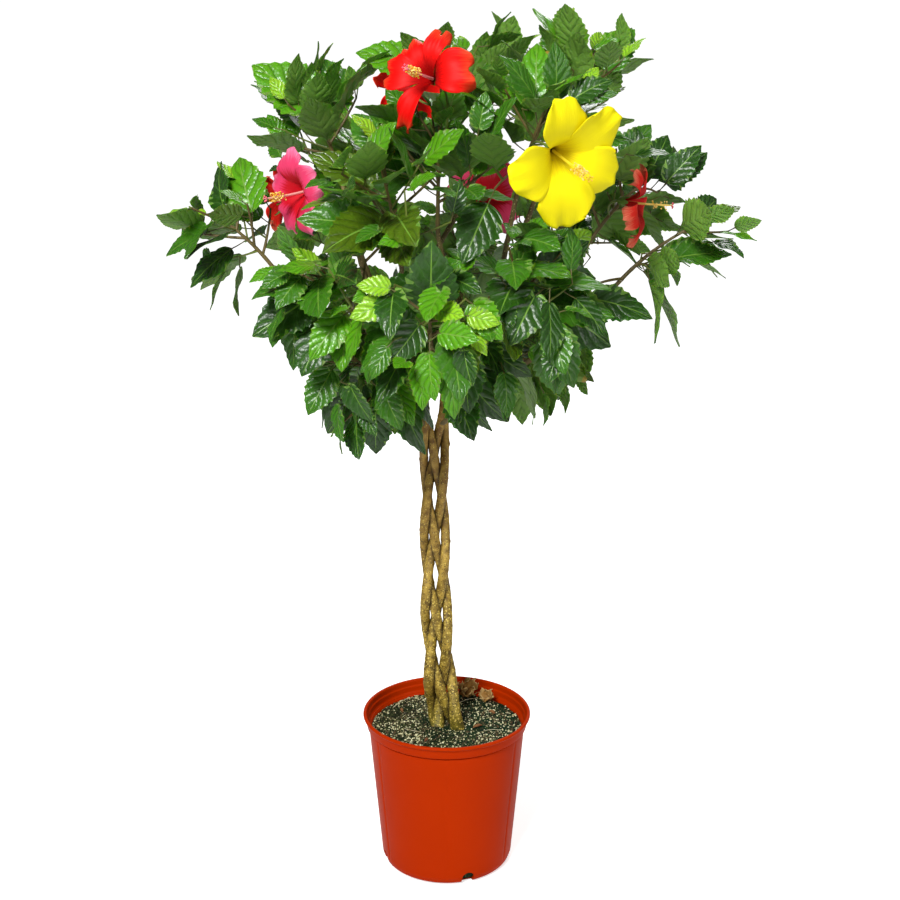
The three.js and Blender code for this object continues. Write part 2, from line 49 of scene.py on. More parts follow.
# A 10 inch nursery pot, injection moulded in one thin wall of polypropylene in a terracotta colour. A
# band and a rolled lip stiffen its mouth. Shallow upright grooves and four arched drain notches are
# moulded in, and a flow line shows faintly down the front.

RIM_RADIUS = 127
POT_HEIGHT = 241
POT_WALL = 2.4
BAND_FOOT = 221
GROOVE_DEPTH = 1.1
FLOW_LINE_DEPTH = 0.25
GROOVE_REACH = 2.0  # degrees to each side of a groove's middle
NOTCH_HALF_WIDTH = 9.5
NOTCH_HEIGHT = 20
FIRST_NOTCH = -71  # degrees round from +X


def linear(colour):
    """An sRGB hex colour as linear RGBA."""
    parts = [int(colour[i : i + 2], 16) / 255 for i in (1, 3, 5)]
    return (*[p / 12.92 if p <= 0.04045 else ((p + 0.055) / 1.055) ** 2.4 for p in parts], 1.0)


def add_node(tree, kind, inputs=None, **settings):
    """Adds a node. An input given as another node's output is linked, and any other value is set."""
    node = tree.nodes.new(kind)
    for name, value in settings.items():
        setattr(node, name, value)
    for name, value in (inputs or {}).items():
        if isinstance(value, bpy.types.NodeSocket):
            tree.links.new(value, node.inputs[name])
        else:
            node.inputs[name].default_value = value
    return node


def start_material(name, base, roughness):
    """A material with plain values on its shader, and its tree, shader and object coordinates."""
    material = bpy.data.materials.new(name)
    material.use_nodes = True
    tree = material.node_tree
    shader = tree.nodes["Principled BSDF"]
    shader.inputs["Base Color"].default_value = linear(base)
    shader.inputs["Roughness"].default_value = roughness
    place = add_node(tree, "ShaderNodeTexCoord").outputs["Object"]
    return material, tree, shader, place


def unit(vector):
    return vector / np.linalg.norm(vector)


def rounded(outline, radius, longest):
    """An outline with its corners rounded and its long runs cut into short ones."""
    corners = [np.array(point, float) for point in outline]
    points = [corners[0]]
    for before, corner, after in zip(corners, corners[1:], corners[2:]):
        near = min([radius, 0.4 * np.linalg.norm(before - corner), 0.4 * np.linalg.norm(after - corner)])
        start = corner + unit(before - corner) * near
        end = corner + unit(after - corner) * near
        for t in (0, 0.33, 0.67, 1):
            points.append((1 - t) ** 2 * start + 2 * t * (1 - t) * corner + t * t * end)
    points.append(corners[-1])
    cut = [points[0]]
    for start, end in zip(points, points[1:]):
        runs = math.ceil(np.linalg.norm(end - start) / longest)
        cut += [start + (end - start) * (k + 1) / runs for k in range(runs)]
    return cut


def turned(profile, angles, press=lambda radius, height, angle: radius):
    """An outline of radius and height turned round the upright axis, from one pole to the other."""
    rings, count = profile[1:-1], len(angles)
    points = [(0, 0, profile[0][1])]
    for radius, height in rings:
        for angle in angles:
            reach = press(radius, height, angle)
            points.append((reach * math.cos(angle), reach * math.sin(angle), height))
    points.append((0, 0, profile[-1][1]))
    after = [(j + 1) % count for j in range(count)]
    faces = [(0, 1 + after[j], 1 + j) for j in range(count)]
    for i in range(len(rings) - 1):
        low, high = 1 + i * count, 1 + (i + 1) * count
        faces += [(low + j, low + after[j], high + after[j], high + j) for j in range(count)]
    last, top = len(points) - 1, 1 + (len(rings) - 1) * count
    faces += [(last, top + j, top + after[j]) for j in range(count)]
    return np.array(points), faces


def make_piece(name, points, faces, materials, slots=None, crease=40):
    """An object at the origin from points in millimetres, shaded smooth except over its creases."""
    mesh = bpy.data.meshes.new(name)
    mesh.from_pydata((np.asarray(points) / 1000).tolist(), [], faces)
    for material in materials:
        mesh.materials.append(material)
    if slots is not None:
        mesh.polygons.foreach_set("material_index", slots)
    mesh.shade_smooth()
    mesh.set_sharp_from_angle(angle=math.radians(crease))
    mesh.update()
    made = bpy.data.objects.new(name, mesh)
    bpy.context.scene.collection.objects.link(made)
    return made


def settle(made):
    """Turns an object's modifiers into its plain mesh."""
    bpy.context.view_layer.update()
    seen = made.evaluated_get(bpy.context.evaluated_depsgraph_get())
    mesh = bpy.data.meshes.new_from_object(seen)
    made.modifiers.clear()
    made.data = mesh
    return made


def pot_plastic():
    """Polypropylene off a polished mould: a soft gloss, hardly mottled, with a faint orange peel."""
    material, tree, shader, place = start_material("moulded_polypropylene", "#b82f00", 0.34)
    cloud = add_node(tree, "ShaderNodeTexNoise", {"Vector": place, "Scale": 14.0, "Detail": 4.0})
    colour = add_node(
        tree,
        "ShaderNodeMix",
        {0: cloud.outputs["Fac"], 6: linear("#b42d00"), 7: linear("#bc3100")},
        data_type="RGBA",
    )
    tree.links.new(colour.outputs[2], shader.inputs["Base Color"])
    shader.inputs["Specular IOR Level"].default_value = 0.03
    peel = add_node(tree, "ShaderNodeTexNoise", {"Vector": place, "Scale": 420.0, "Detail": 2.0})
    bump = add_node(
        tree, "ShaderNodeBump", {"Height": peel.outputs["Fac"], "Strength": 0.08, "Distance": 0.0004}
    )
    tree.links.new(bump.outputs["Normal"], shader.inputs["Normal"])
    return material


def pot_groove(radius, height, angle):
    """The wall's radius where an upright groove or the flow line is pressed into it."""
    if not 13 < height < BAND_FOOT - 4:
        return radius
    turn = (math.degrees(angle) + 90) / 60
    off = abs(turn - round(turn)) * 60 / GROOVE_REACH
    if off >= 1:
        return radius
    depth = FLOW_LINE_DEPTH if round(turn) % 3 == 0 else GROOVE_DEPTH
    fade = min(1, (height - 13) / 8, (BAND_FOOT - 4 - height) / 8)
    return radius - depth * fade * math.cos(off * math.pi / 2) ** 2


def pot_angles():
    """Even angles round the pot, with more of them at each groove."""
    grooves = [-90 + 60 * k for k in range(6)]
    even = [a for a in np.arange(-91.25, 268, 2.5) if min(abs((a + 90) % 60), 60 - (a + 90) % 60) > 2.6]
    close = [groove + GROOVE_REACH * share for groove in grooves for share in np.linspace(-1, 1, 9)]
    return [math.radians(a) for a in sorted(even + close)]


def notch_cutters():
    """Four arched bars that cut the drain notches."""
    rise = NOTCH_HEIGHT - NOTCH_HALF_WIDTH
    arch = [(-NOTCH_HALF_WIDTH, -5), (NOTCH_HALF_WIDTH, -5)]
    for k in range(13):
        angle = math.pi * k / 12
        arch.append((NOTCH_HALF_WIDTH * math.cos(angle), rise + NOTCH_HALF_WIDTH * math.sin(angle)))
    points, faces, count = [], [], len(arch)
    for notch in range(4):
        turn = math.radians(FIRST_NOTCH + 90 * notch)
        first = len(points)
        for x in (86, 112):
            for y, z in arch:
                across_x = x * math.cos(turn) - y * math.sin(turn)
                across_y = x * math.sin(turn) + y * math.cos(turn)
                points.append((across_x, across_y, z))
        faces.append(tuple(range(first + count - 1, first - 1, -1)))
        faces.append(tuple(range(first + count, first + 2 * count)))
        for j in range(count):
            k = (j + 1) % count
            faces.append((first + j, first + k, first + count + k, first + count + j))
    return make_piece("notch_cutters", points, faces, [])


foot = [(0, 0), (91, 0), (97, 4), (100, 12)]
groove_under_band = [(118.3, BAND_FOOT - 2.6), (116.4, BAND_FOOT - 1.9), (116.4, BAND_FOOT - 0.6)]
band = [(121.4, BAND_FOOT), (123.5, POT_HEIGHT - 6)]
lip = [(125.6, 236), (RIM_RADIUS, 237.4), (RIM_RADIUS, 239.8), (125.4, POT_HEIGHT), (122.8, POT_HEIGHT)]
mouth = [(121.4, 238.6), (121, 232), (119.4, 230.4), (119, BAND_FOOT + 2), (114.8, BAND_FOOT - 4)]
inside = [(97.5, 13), (88, POT_WALL), (0, POT_WALL)]
pot_outline = rounded(foot + groove_under_band + band + lip + mouth + inside, 1.2, 12)
pot_points, pot_faces = turned(pot_outline, pot_angles(), pot_groove)
pot = make_piece("nursery_pot", pot_points, pot_faces, [pot_plastic()])
cutters = notch_cutters()
notches = pot.modifiers.new("notches", "BOOLEAN")
notches.object = cutters
notches.solver = "EXACT"
settle(pot)
pot.data.set_sharp_from_angle(angle=math.radians(35))
bpy.data.objects.remove(cutters)
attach(pot, "root")
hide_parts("pot")


# ---------------------------------------------------------------- the soil

# The fill is a dark bark mix, crumbly and damp, with a green film of algae. Pale perlite grains, brown
# bark chips, two dried fallen blooms and a few pale root fibres lie on it.

SOIL_HEIGHT = 219
SOIL_TOP_FALL = 3.5  # from its middle to the wall
SOIL_ROUGHNESS = 2.4


def soil_material():
    """Damp bark and peat: matt, near black, greened where the light reaches it."""
    material, tree, shader, place = start_material("potting_mix", "#12160c", 0.95)
    shader.inputs["Specular IOR Level"].default_value = 0.1
    cloud = add_node(tree, "ShaderNodeTexNoise", {"Vector": place, "Scale": 24.0, "Detail": 3.0})
    side = add_node(tree, "ShaderNodeSeparateXYZ", {"Vector": place}).outputs["X"]
    film = add_node(
        tree,
        "ShaderNodeMapRange",
        {"Value": side, "From Min": -0.09, "From Max": 0.09, "To Min": -0.25, "To Max": 0.35},
    )
    greened = add_node(
        tree,
        "ShaderNodeMath",
        {0: cloud.outputs["Fac"], 1: film.outputs["Result"]},
        operation="ADD",
        use_clamp=True,
    )
    crumb = add_node(tree, "ShaderNodeTexNoise", {"Vector": place, "Scale": 330.0, "Detail": 3.0})
    green = add_node(
        tree,
        "ShaderNodeMix",
        {0: greened.outputs["Value"], 6: linear("#1c1c0a"), 7: linear("#042a1a")},
        data_type="RGBA",
    )
    lift = add_node(
        tree,
        "ShaderNodeMapRange",
        {"Value": crumb.outputs["Fac"], "From Min": 0.5, "From Max": 0.75},
    )
    colour = add_node(
        tree,
        "ShaderNodeMix",
        {0: lift.outputs["Result"], 6: green.outputs[2], 7: linear("#555c36")},
        data_type="RGBA",
    )
    tree.links.new(colour.outputs[2], shader.inputs["Base Color"])
    bump = add_node(
        tree, "ShaderNodeBump", {"Height": crumb.outputs["Fac"], "Strength": 0.9, "Distance": 0.002}
    )
    tree.links.new(bump.outputs["Normal"], shader.inputs["Normal"])
    return material


def crumbled(points, least_height):
    """Lifts and sinks the points above a height by coarse and fine lumps."""
    made = points.copy()
    for point in made:
        if point[2] > least_height:
            spot = Vector(point)
            lump = noise.noise(spot / 14) + 0.6 * noise.noise(spot / 5) + 0.5 * noise.noise(spot / 2.4)
            point[2] += SOIL_ROUGHNESS * lump * 0.8
    return made


soil_under = [(0, POT_WALL + 0.5), (87.5, POT_WALL + 0.5), (97, 13.2), (114.1, 213.5)]
soil_top = []
for ring in range(57):
    reach = 113.6 - 2 * ring
    fall = SOIL_TOP_FALL * max(0, (reach - 55) / 60) ** 1.5
    soil_top.append((reach, SOIL_HEIGHT - fall))
soil_angles = [2 * math.pi * k / 200 for k in range(200)]
soil_points, soil_faces = turned(soil_under + soil_top + [(0, SOIL_HEIGHT)], soil_angles)
soil_points = crumbled(soil_points, 214)
soil = make_piece("soil_fill", soil_points, soil_faces, [soil_material()], crease=180)
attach(soil, "root")
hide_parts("soil")


def strew(name, ground, grain, seed, settings, material, upright=False):
    """Grains set over a surface by a node tree, each sized at random and turned at random or upright."""
    tree = bpy.data.node_groups.new(name, "GeometryNodeTree")
    tree.interface.new_socket("Ground", in_out="INPUT", socket_type="NodeSocketGeometry")
    for label in settings:
        tree.interface.new_socket(label, in_out="INPUT", socket_type="NodeSocketFloat")
    tree.interface.new_socket("Grains", in_out="OUTPUT", socket_type="NodeSocketGeometry")
    given = add_node(tree, "NodeGroupInput")
    cloud = add_node(tree, "ShaderNodeTexNoise", {"Scale": 38.0, "Detail": 2.0})
    heaped = add_node(
        tree,
        "ShaderNodeMapRange",
        {"Value": cloud.outputs["Fac"], "From Min": 0.38, "From Max": 0.62, "To Min": 0.35, "To Max": 1.5},
    )
    density = add_node(
        tree,
        "ShaderNodeMath",
        {0: given.outputs["Grains per square metre"], 1: heaped.outputs["Result"]},
        operation="MULTIPLY",
    )
    spots = add_node(
        tree,
        "GeometryNodeDistributePointsOnFaces",
        {"Mesh": given.outputs["Ground"], "Density": density.outputs["Value"], "Seed": seed},
    )
    turn = add_node(
        tree,
        "FunctionNodeRandomValue",
        {0: (0.0, 0.0, 0.0), 1: (6.28, 6.28, 6.28), "Seed": seed + 1},
        data_type="FLOAT_VECTOR",
    )
    size = add_node(
        tree,
        "FunctionNodeRandomValue",
        {2: given.outputs["Smallest"], 3: given.outputs["Largest"], "Seed": seed + 2},
        data_type="FLOAT",
    )
    shape = add_node(tree, "GeometryNodeObjectInfo", {"Object": grain})
    placed = add_node(
        tree,
        "GeometryNodeInstanceOnPoints",
        {
            "Points": spots.outputs["Points"],
            "Instance": shape.outputs["Geometry"],
            "Rotation": spots.outputs["Rotation"] if upright else turn.outputs[0],
            "Scale": size.outputs[1],
        },
    )
    plain = add_node(tree, "GeometryNodeRealizeInstances", {"Geometry": placed.outputs["Instances"]})
    painted = add_node(
        tree, "GeometryNodeSetMaterial", {"Geometry": plain.outputs["Geometry"], "Material": material}
    )
    add_node(tree, "NodeGroupOutput", {"Grains": painted.outputs["Geometry"]})
    made = bpy.data.objects.new(name, ground.data.copy())
    bpy.context.scene.collection.objects.link(made)
    strewing = made.modifiers.new(name, "NODES")
    strewing.node_group = tree
    for item in tree.interface.items_tree:
        if item.in_out == "INPUT" and item.name in settings:
            strewing[item.identifier] = settings[item.name]
    settle(made)
    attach(made, "root")
    return made


def lump(name, lengths, roughness, seed, detail=1):
    """A small angular stone or chip, 1 mm across before its lengths are set."""
    made = bpy.data.objects.new(name, bpy.data.meshes.new(name))
    bpy.context.scene.collection.objects.link(made)
    shape = bmesh.new()
    bmesh.ops.create_icosphere(shape, subdivisions=detail, radius=0.5)
    for vertex in shape.verts:
        push = 1 + roughness * noise.noise(vertex.co * 3 + Vector((seed, 0, 0)))
        vertex.co = Vector([axis * push * length / 1000 for axis, length in zip(vertex.co, lengths)])
    shape.to_mesh(made.data)
    shape.free()
    return made


def grain_material(name, first, second, roughness):
    """Loose grains, matt and dusty, that differ a little from one to the next."""
    material, tree, shader, place = start_material(name, first, roughness)
    tint = add_node(tree, "ShaderNodeTexNoise", {"Vector": place, "Scale": 160.0, "Detail": 2.0})
    share = add_node(
        tree,
        "ShaderNodeMapRange",
        {"Value": tint.outputs["Fac"], "From Min": 0.4, "From Max": 0.6},
    )
    colour = add_node(
        tree,
        "ShaderNodeMix",
        {0: share.outputs["Result"], 6: linear(first), 7: linear(second)},
        data_type="RGBA",
    )
    tree.links.new(colour.outputs[2], shader.inputs["Base Color"])
    grit = add_node(tree, "ShaderNodeTexNoise", {"Vector": place, "Scale": 900.0, "Detail": 2.0})
    bump = add_node(
        tree, "ShaderNodeBump", {"Height": grit.outputs["Fac"], "Strength": 0.5, "Distance": 0.0005}
    )
    tree.links.new(bump.outputs["Normal"], shader.inputs["Normal"])
    return material


upper_faces = [face for face in soil_faces if all(soil_points[corner][2] > 212 for corner in face)]
open_ground = make_piece("open_ground", soil_points, upper_faces, [])
perlite_stone = lump("perlite_stone", (1, 0.85, 0.75), 0.5, 3)
perlite = strew(
    "perlite_grains",
    open_ground,
    perlite_stone,
    11,
    {"Grains per square metre": 38000.0, "Smallest": 0.9, "Largest": 4.0},
    grain_material("expanded_perlite", "#f2eec4", "#c2bf8c", 0.9),
)
bark_chip = lump("bark_chip", (1, 0.5, 0.3), 0.8, 8)
chips = strew(
    "bark_chips",
    open_ground,
    bark_chip,
    23,
    {"Grains per square metre": 26000.0, "Smallest": 2.0, "Largest": 7.5},
    grain_material("composted_bark", "#1f1e12", "#5c4c30", 0.92),
)
sunny_faces = [face for face in upper_faces if soil_points[face[0]][0] < 20 or soil_points[face[0]][1] < -45]
sunny_ground = make_piece("sunny_ground", soil_points, sunny_faces, [])
husks = strew(
    "coir_husks",
    sunny_ground,
    bark_chip,
    37,
    {"Grains per square metre": 60000.0, "Smallest": 1.2, "Largest": 3.8},
    grain_material("coir_husk", "#a8a273", "#5e5b35", 0.92),
)
for spare in (open_ground, sunny_ground, perlite_stone, bark_chip):
    bpy.data.objects.remove(spare)


# ---------------------------------------------------------------- the braided stems

# Four young stems were planted together and plaited while they were green, so they lie tight against
# each other and open into leaders at the fork. The bark is smooth and thin, olive low down and tan
# above, with pale pores, dark specks, and ring scars where leaves once stood.

FORK_HEIGHT = 706
LEADER_TOP = 800
BRAID_PITCH = 494
BRAID_START = -40  # degrees of the plait's turn at the soil
BRAID_LEAN = -18
LOOSE_HEIGHT = 650
FLARE_HEIGHT = 45
STEM_FOOT, STEM_LOW, STEM_TOP, STEM_END = 8.4, 6.7, 5.5, 4.9
PLAIT = {"radius": 6.3, "wide": 16, "wide_third": 0.4, "deep": 1.9, "deep_third": 11, "deep_fifth": 2.4}
SCAR_SPACING = 27
PRESSED = 1.15  # the bark swells against its neighbours
FOOT_SWELL = 0.14
CREASE_SHADE_REACH = 4.5
UP = np.array([0.0, 0.0, 1.0])


def stem_radius(z):
    share = np.clip((z - SOIL_HEIGHT) / (FORK_HEIGHT - SOIL_HEIGHT), None, 1)
    flare = np.clip(1 - (z - SOIL_HEIGHT) / FLARE_HEIGHT, 0, None) ** 2
    above = np.clip((z - FORK_HEIGHT) / (LEADER_TOP - FORK_HEIGHT), 0, None)
    even = STEM_LOW + (STEM_TOP - STEM_LOW) * share
    return even + (STEM_FOOT - STEM_LOW) * flare - (STEM_TOP - STEM_END) * above


def stem_points(stem, z):
    """The middle line of one stem at some heights: a tight plait of four that opens at its head."""
    z = np.asarray(z, float)
    braided = np.minimum(z, FORK_HEIGHT)
    turn = np.radians(BRAID_START + 360 * (braided - SOIL_HEIGHT) / BRAID_PITCH + 90 * stem)
    head = np.clip((z - LOOSE_HEIGHT) / (FORK_HEIGHT - LOOSE_HEIGHT), 0, None)
    spread = stem_radius(braided) / PLAIT["radius"] * 1.03 + 0.16 * head + 0.1 * head**2
    lean = BRAID_LEAN * (1 - np.exp(-(z - SOIL_HEIGHT) / (2 * FLARE_HEIGHT)))
    x = PLAIT["wide"] * np.sin(turn) - PLAIT["wide_third"] * np.sin(3 * turn)
    y = PLAIT["deep_third"] * np.cos(3 * turn) - PLAIT["deep"] * np.cos(turn)
    y = y - PLAIT["deep_fifth"] * np.cos(5 * turn)
    return np.stack([lean + x * spread, y * spread, z], axis=-1)


def across(direction):
    """Two unit vectors across a direction."""
    other = UP if abs(direction[2]) < 0.95 else np.array([1.0, 0.0, 0.0])
    side = unit(np.cross(direction, other))
    return side, np.cross(side, direction)


def tube(path, radii, sides):
    """A closed tube along a path. Its radii are one for each point, or one for each point and side."""
    path = np.asarray(path, float)
    ways = np.gradient(path, axis=0)
    ways /= np.linalg.norm(ways, axis=1)[:, None]
    side = across(ways[0])[0]
    normals = []
    for way in ways:
        side = unit(side - way * side.dot(way))
        normals.append(side)
    normals = np.array(normals)[:, None]
    binormals = np.cross(ways[:, None], normals)
    angles = np.linspace(0, 2 * math.pi, sides, endpoint=False)[None, :, None]
    radii = np.asarray(radii, float)
    radii = radii[:, None] * np.ones(sides) if radii.ndim == 1 else radii
    rings = path[:, None] + (normals * np.cos(angles) + binormals * np.sin(angles)) * radii[..., None]
    faces = [tuple(range(sides - 1, -1, -1))]
    for i in range(len(path) - 1):
        low, high = i * sides, (i + 1) * sides
        for j in range(sides):
            k = (j + 1) % sides
            faces.append((low + j, low + k, high + k, high + j))
    last = (len(path) - 1) * sides
    faces.append(tuple(range(last, last + sides)))
    return rings.reshape(-1, 3), faces


def bark_relief(length, sides, radius, seed):
    """Added radius over a limb's bark: flutes, ring scars, and a few knobs where shoots were cut."""
    draw = np.random.default_rng(seed)
    along = np.asarray(length, float)[:, None]
    around = np.linspace(0, 2 * math.pi, sides, endpoint=False)[None, :]
    relief = 0.035 * radius[:, None] * np.cos(3 * around + along / 55 + seed)
    relief = relief + 0.02 * radius[:, None] * np.sin(5 * around - along / 19)
    relief = relief + 0.12 * np.sin(along / 2.1 + 2 * np.sin(around + seed)) * np.sin(along / 7.7)
    spot = draw.uniform(5, SCAR_SPACING)
    while spot < along[-1, 0]:
        tilt = 1.2 * np.cos(around - draw.uniform(0, 6.28))
        relief = relief + draw.uniform(0.35, 0.7) * np.exp(-(((along - spot - tilt) / 1.5) ** 2))
        if draw.uniform() < 0.35:
            turn = np.angle(np.exp(1j * (around - draw.uniform(0, 6.28)))) * radius[:, None]
            relief = relief + 1.5 * np.exp(-((along - spot) ** 2 + turn**2) / 9)
        spot += draw.uniform(0.6, 1.4) * SCAR_SPACING
    return relief


def chart_by_point(mesh, name, places):
    """Adds a UV map that gives each corner its point's place."""
    corners = np.empty(len(mesh.loops), int)
    mesh.loops.foreach_get("vertex_index", corners)
    chart = mesh.uv_layers.new(name=name)
    chart.data.foreach_set("uv", np.asarray(places, float)[corners].ravel())


def crease_shade_clearance(stem, points, swell):
    """For each point of a stem's bark, its share free of the painted crease shade: 0 in a crease against
    another stem and 1 in the open.
    """
    gap = np.full(len(points), np.inf)
    for other in range(4):
        if other != stem:
            apart = np.linalg.norm(points - stem_points(other, points[:, 2]), axis=1)
            gap = np.minimum(gap, apart - stem_radius(points[:, 2]) * swell)
    return np.clip(gap / CREASE_SHADE_REACH, 0, 1)


def stem_bark():
    """Thin young bark. Height above the soil turns it from olive to tan and thins out its specks, and
    painted shade darkens it in the creases between the stems.
    """
    material, tree, shader, place = start_material("olive_stem_bark", "#8f7c39", 0.62)
    height = add_node(tree, "ShaderNodeSeparateXYZ", {"Vector": place}).outputs["Z"]
    aged = add_node(
        tree, "ShaderNodeMapRange", {"Value": height, "From Min": 0.36, "From Max": 0.62}
    ).outputs["Result"]
    damp = add_node(
        tree, "ShaderNodeMapRange", {"Value": height, "From Min": 0.215, "From Max": 0.285}
    ).outputs["Result"]
    cloud = add_node(tree, "ShaderNodeTexNoise", {"Vector": place, "Scale": 85.0, "Detail": 5.0})
    patch = add_node(
        tree,
        "ShaderNodeMapRange",
        {"Value": cloud.outputs["Fac"], "From Min": 0.36, "From Max": 0.64},
    ).outputs["Result"]
    olive = add_node(
        tree, "ShaderNodeMix", {0: patch, 6: linear("#6b5512"), 7: linear("#b89a38")}, data_type="RGBA"
    )
    tan = add_node(
        tree, "ShaderNodeMix", {0: patch, 6: linear("#77551a"), 7: linear("#b5903f")}, data_type="RGBA"
    )
    green = add_node(
        tree, "ShaderNodeMix", {0: patch, 6: linear("#4d4c0c"), 7: linear("#837a1e")}, data_type="RGBA"
    )
    low = add_node(
        tree, "ShaderNodeMix", {0: damp, 6: green.outputs[2], 7: olive.outputs[2]}, data_type="RGBA"
    )
    bark = add_node(
        tree, "ShaderNodeMix", {0: aged, 6: low.outputs[2], 7: tan.outputs[2]}, data_type="RGBA"
    )
    specks = add_node(tree, "ShaderNodeTexVoronoi", {"Vector": place, "Scale": 330.0})
    reach = add_node(
        tree, "ShaderNodeMapRange", {"Value": aged, "To Min": 0.30, "To Max": 0.17}
    ).outputs["Result"]
    dark = add_node(
        tree, "ShaderNodeMath", {0: specks.outputs["Distance"], 1: reach}, operation="LESS_THAN"
    )
    speckled = add_node(
        tree,
        "ShaderNodeMix",
        {0: dark.outputs["Value"], 6: bark.outputs[2], 7: linear("#3d2c0c")},
        data_type="RGBA",
    )
    pores = add_node(tree, "ShaderNodeTexVoronoi", {"Vector": place, "Scale": 240.0})
    pale = add_node(
        tree, "ShaderNodeMath", {0: pores.outputs["Distance"], 1: reach}, operation="LESS_THAN"
    )
    colour = add_node(
        tree,
        "ShaderNodeMix",
        {0: pale.outputs["Value"], 6: speckled.outputs[2], 7: linear("#d8bf5a")},
        data_type="RGBA",
    )
    # Painted shade: the bark darkens to near black where it lies in a crease against another stem.
    crease_shade_chart = add_node(tree, "ShaderNodeUVMap", uv_map="plait").outputs["UV"]
    unshaded_bark = add_node(tree, "ShaderNodeSeparateXYZ", {"Vector": crease_shade_chart}).outputs["Y"]
    crease_shaded_bark = add_node(
        tree,
        "ShaderNodeMix",
        {0: unshaded_bark, 6: linear("#2b1e08"), 7: colour.outputs[2]},
        data_type="RGBA",
    )
    tree.links.new(crease_shaded_bark.outputs[2], shader.inputs["Base Color"])
    grain = add_node(tree, "ShaderNodeTexNoise", {"Vector": place, "Scale": 520.0, "Detail": 3.0})
    rough = add_node(
        tree, "ShaderNodeMath", {0: grain.outputs["Fac"], 1: pores.outputs["Distance"]}, operation="SUBTRACT"
    )
    bump = add_node(
        tree, "ShaderNodeBump", {"Height": rough.outputs["Value"], "Strength": 0.35, "Distance": 0.0006}
    )
    tree.links.new(bump.outputs["Normal"], shader.inputs["Normal"])
    return material


stem_skin = stem_bark()
pore_seed = lump("pore", (1, 1.6, 0.5), 0.2, 5)
pore_material = grain_material("bark_pores", "#cdbb7a", "#94803f", 0.8)
for stem in range(4):
    heights = np.linspace(SOIL_HEIGHT - 3, LEADER_TOP, 292)
    line = stem_points(stem, heights)
    swell = PRESSED + FOOT_SWELL * np.clip((400 - heights) / 180, 0, 1)
    girth = stem_radius(np.maximum(heights, SOIL_HEIGHT)) * swell
    girth[-4:] *= np.array([0.97, 0.86, 0.66, 0.3])
    relief = bark_relief(heights - heights[0], 22, girth, 40 + stem)
    points, faces = tube(line, girth[:, None] + relief, 22)
    bark = make_piece(f"stem_{stem + 1}_bark", points, faces, [stem_skin], crease=70)
    # Painted shade mask: how far each point of the bark lies from the creases against the other stems.
    free_of_crease_shade = crease_shade_clearance(stem, points, np.repeat(swell, 22))
    chart_by_point(bark.data, "plait", np.stack([np.zeros(len(points)), free_of_crease_shade], axis=1))
    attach(bark, "root")
    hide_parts(f"braided_stem_{stem + 1}")
    pores = strew(
        f"stem_{stem + 1}_pores",
        bark,
        pore_seed,
        60 + stem,
        {"Grains per square metre": 21000.0, "Smallest": 0.3, "Largest": 1.05},
        pore_material,
        upright=True,
    )
bpy.data.objects.remove(pore_seed)


# ---------------------------------------------------------------- growth rule

# How the crown grows. Each mass of foliage keeps to its own cell of the crown, between flat walls. One
# bough carries its stem, shoots leave the stem by the golden angle, and leaves leave the shoots by it.
# A twig or leaf that would leave the cell, touch a limb or pass through another is turned or skipped.

CLEAR_GAP = 0.3
BOUGH_FOOT, BOUGH_TIP = 4.6, 3.0
LEAF_LENGTH, LEAF_WIDTH = 96, 66
PETIOLE_LENGTH = 28
NODE_SPACING = 20
TWIG_MARGIN = 3
GOLDEN_ANGLE = math.radians(137.508)
TRUNK_HEAD = np.array([BRAID_LEAN, 0.0, FORK_HEIGHT])
CROWN_HEART = np.array([0.0, 0.0, 920.0])
SHOOTS_PER_MASS = 5
YOUNG_TUFT = np.array([-2.0, -300.0, 963.0])

# Long shoots that reach out past their mass: where each leaves the stem and its tip, then the ways its
# end leaf runs and faces, and how large it is.
LONG_SHOOTS = {
    "top_left": [(0.8, (-146, -25, 1120), (-0.85, 0.1, 0.55), (0, -0.9, 0.6), 1.0)],
    "top_middle": [(0.6, (-6, -35, 1182), (-0.95, 0.05, 0.28), (0, -0.8, 0.7), 0.86)],
    "right_spray": [
        (0.1, (280, -5, 922), (0.96, -0.05, 0.24), (0, -0.6, 0.9), 0.86),
        (0.02, (176, -40, 884), (0.85, -0.3, -0.1), (0.1, -0.8, 0.6), 0.8),
    ],
    "upper_front_right": [(0.12, (62, -160, 1040), (-0.3, -0.5, -0.6), (0, -1, 0.3), 0.8)],
    "upper_right": [
        (0.7, (272, 52, 1004), (-0.12, -0.1, 0.95), (-0.3, -0.9, 0.2), 0.74),
        (0.8, (298, 48, 1016), (0.62, -0.1, 0.75), (0, -0.9, 0.4), 0.64),
    ],
}

# Gaps where the sky shows through the crown from the front: across and up at the trunk, and how wide.
SKY_GAPS = [
    (354, 885, 32),
    (-375, 916, 20),
    (-344, 1048, 25),
    (270, 1145, 33),
    (203, 1266, 30),
    (221, 925, 28),
    (33, 1248, 22),
    (-249, 1138, 17),
    (-70, 1268, 34),
    (-278, 782, 30),
    (-238, 741, 34),
    (-214, 682, 34),
]
EYE = np.array([5.0, -2000.0, 1203.0])

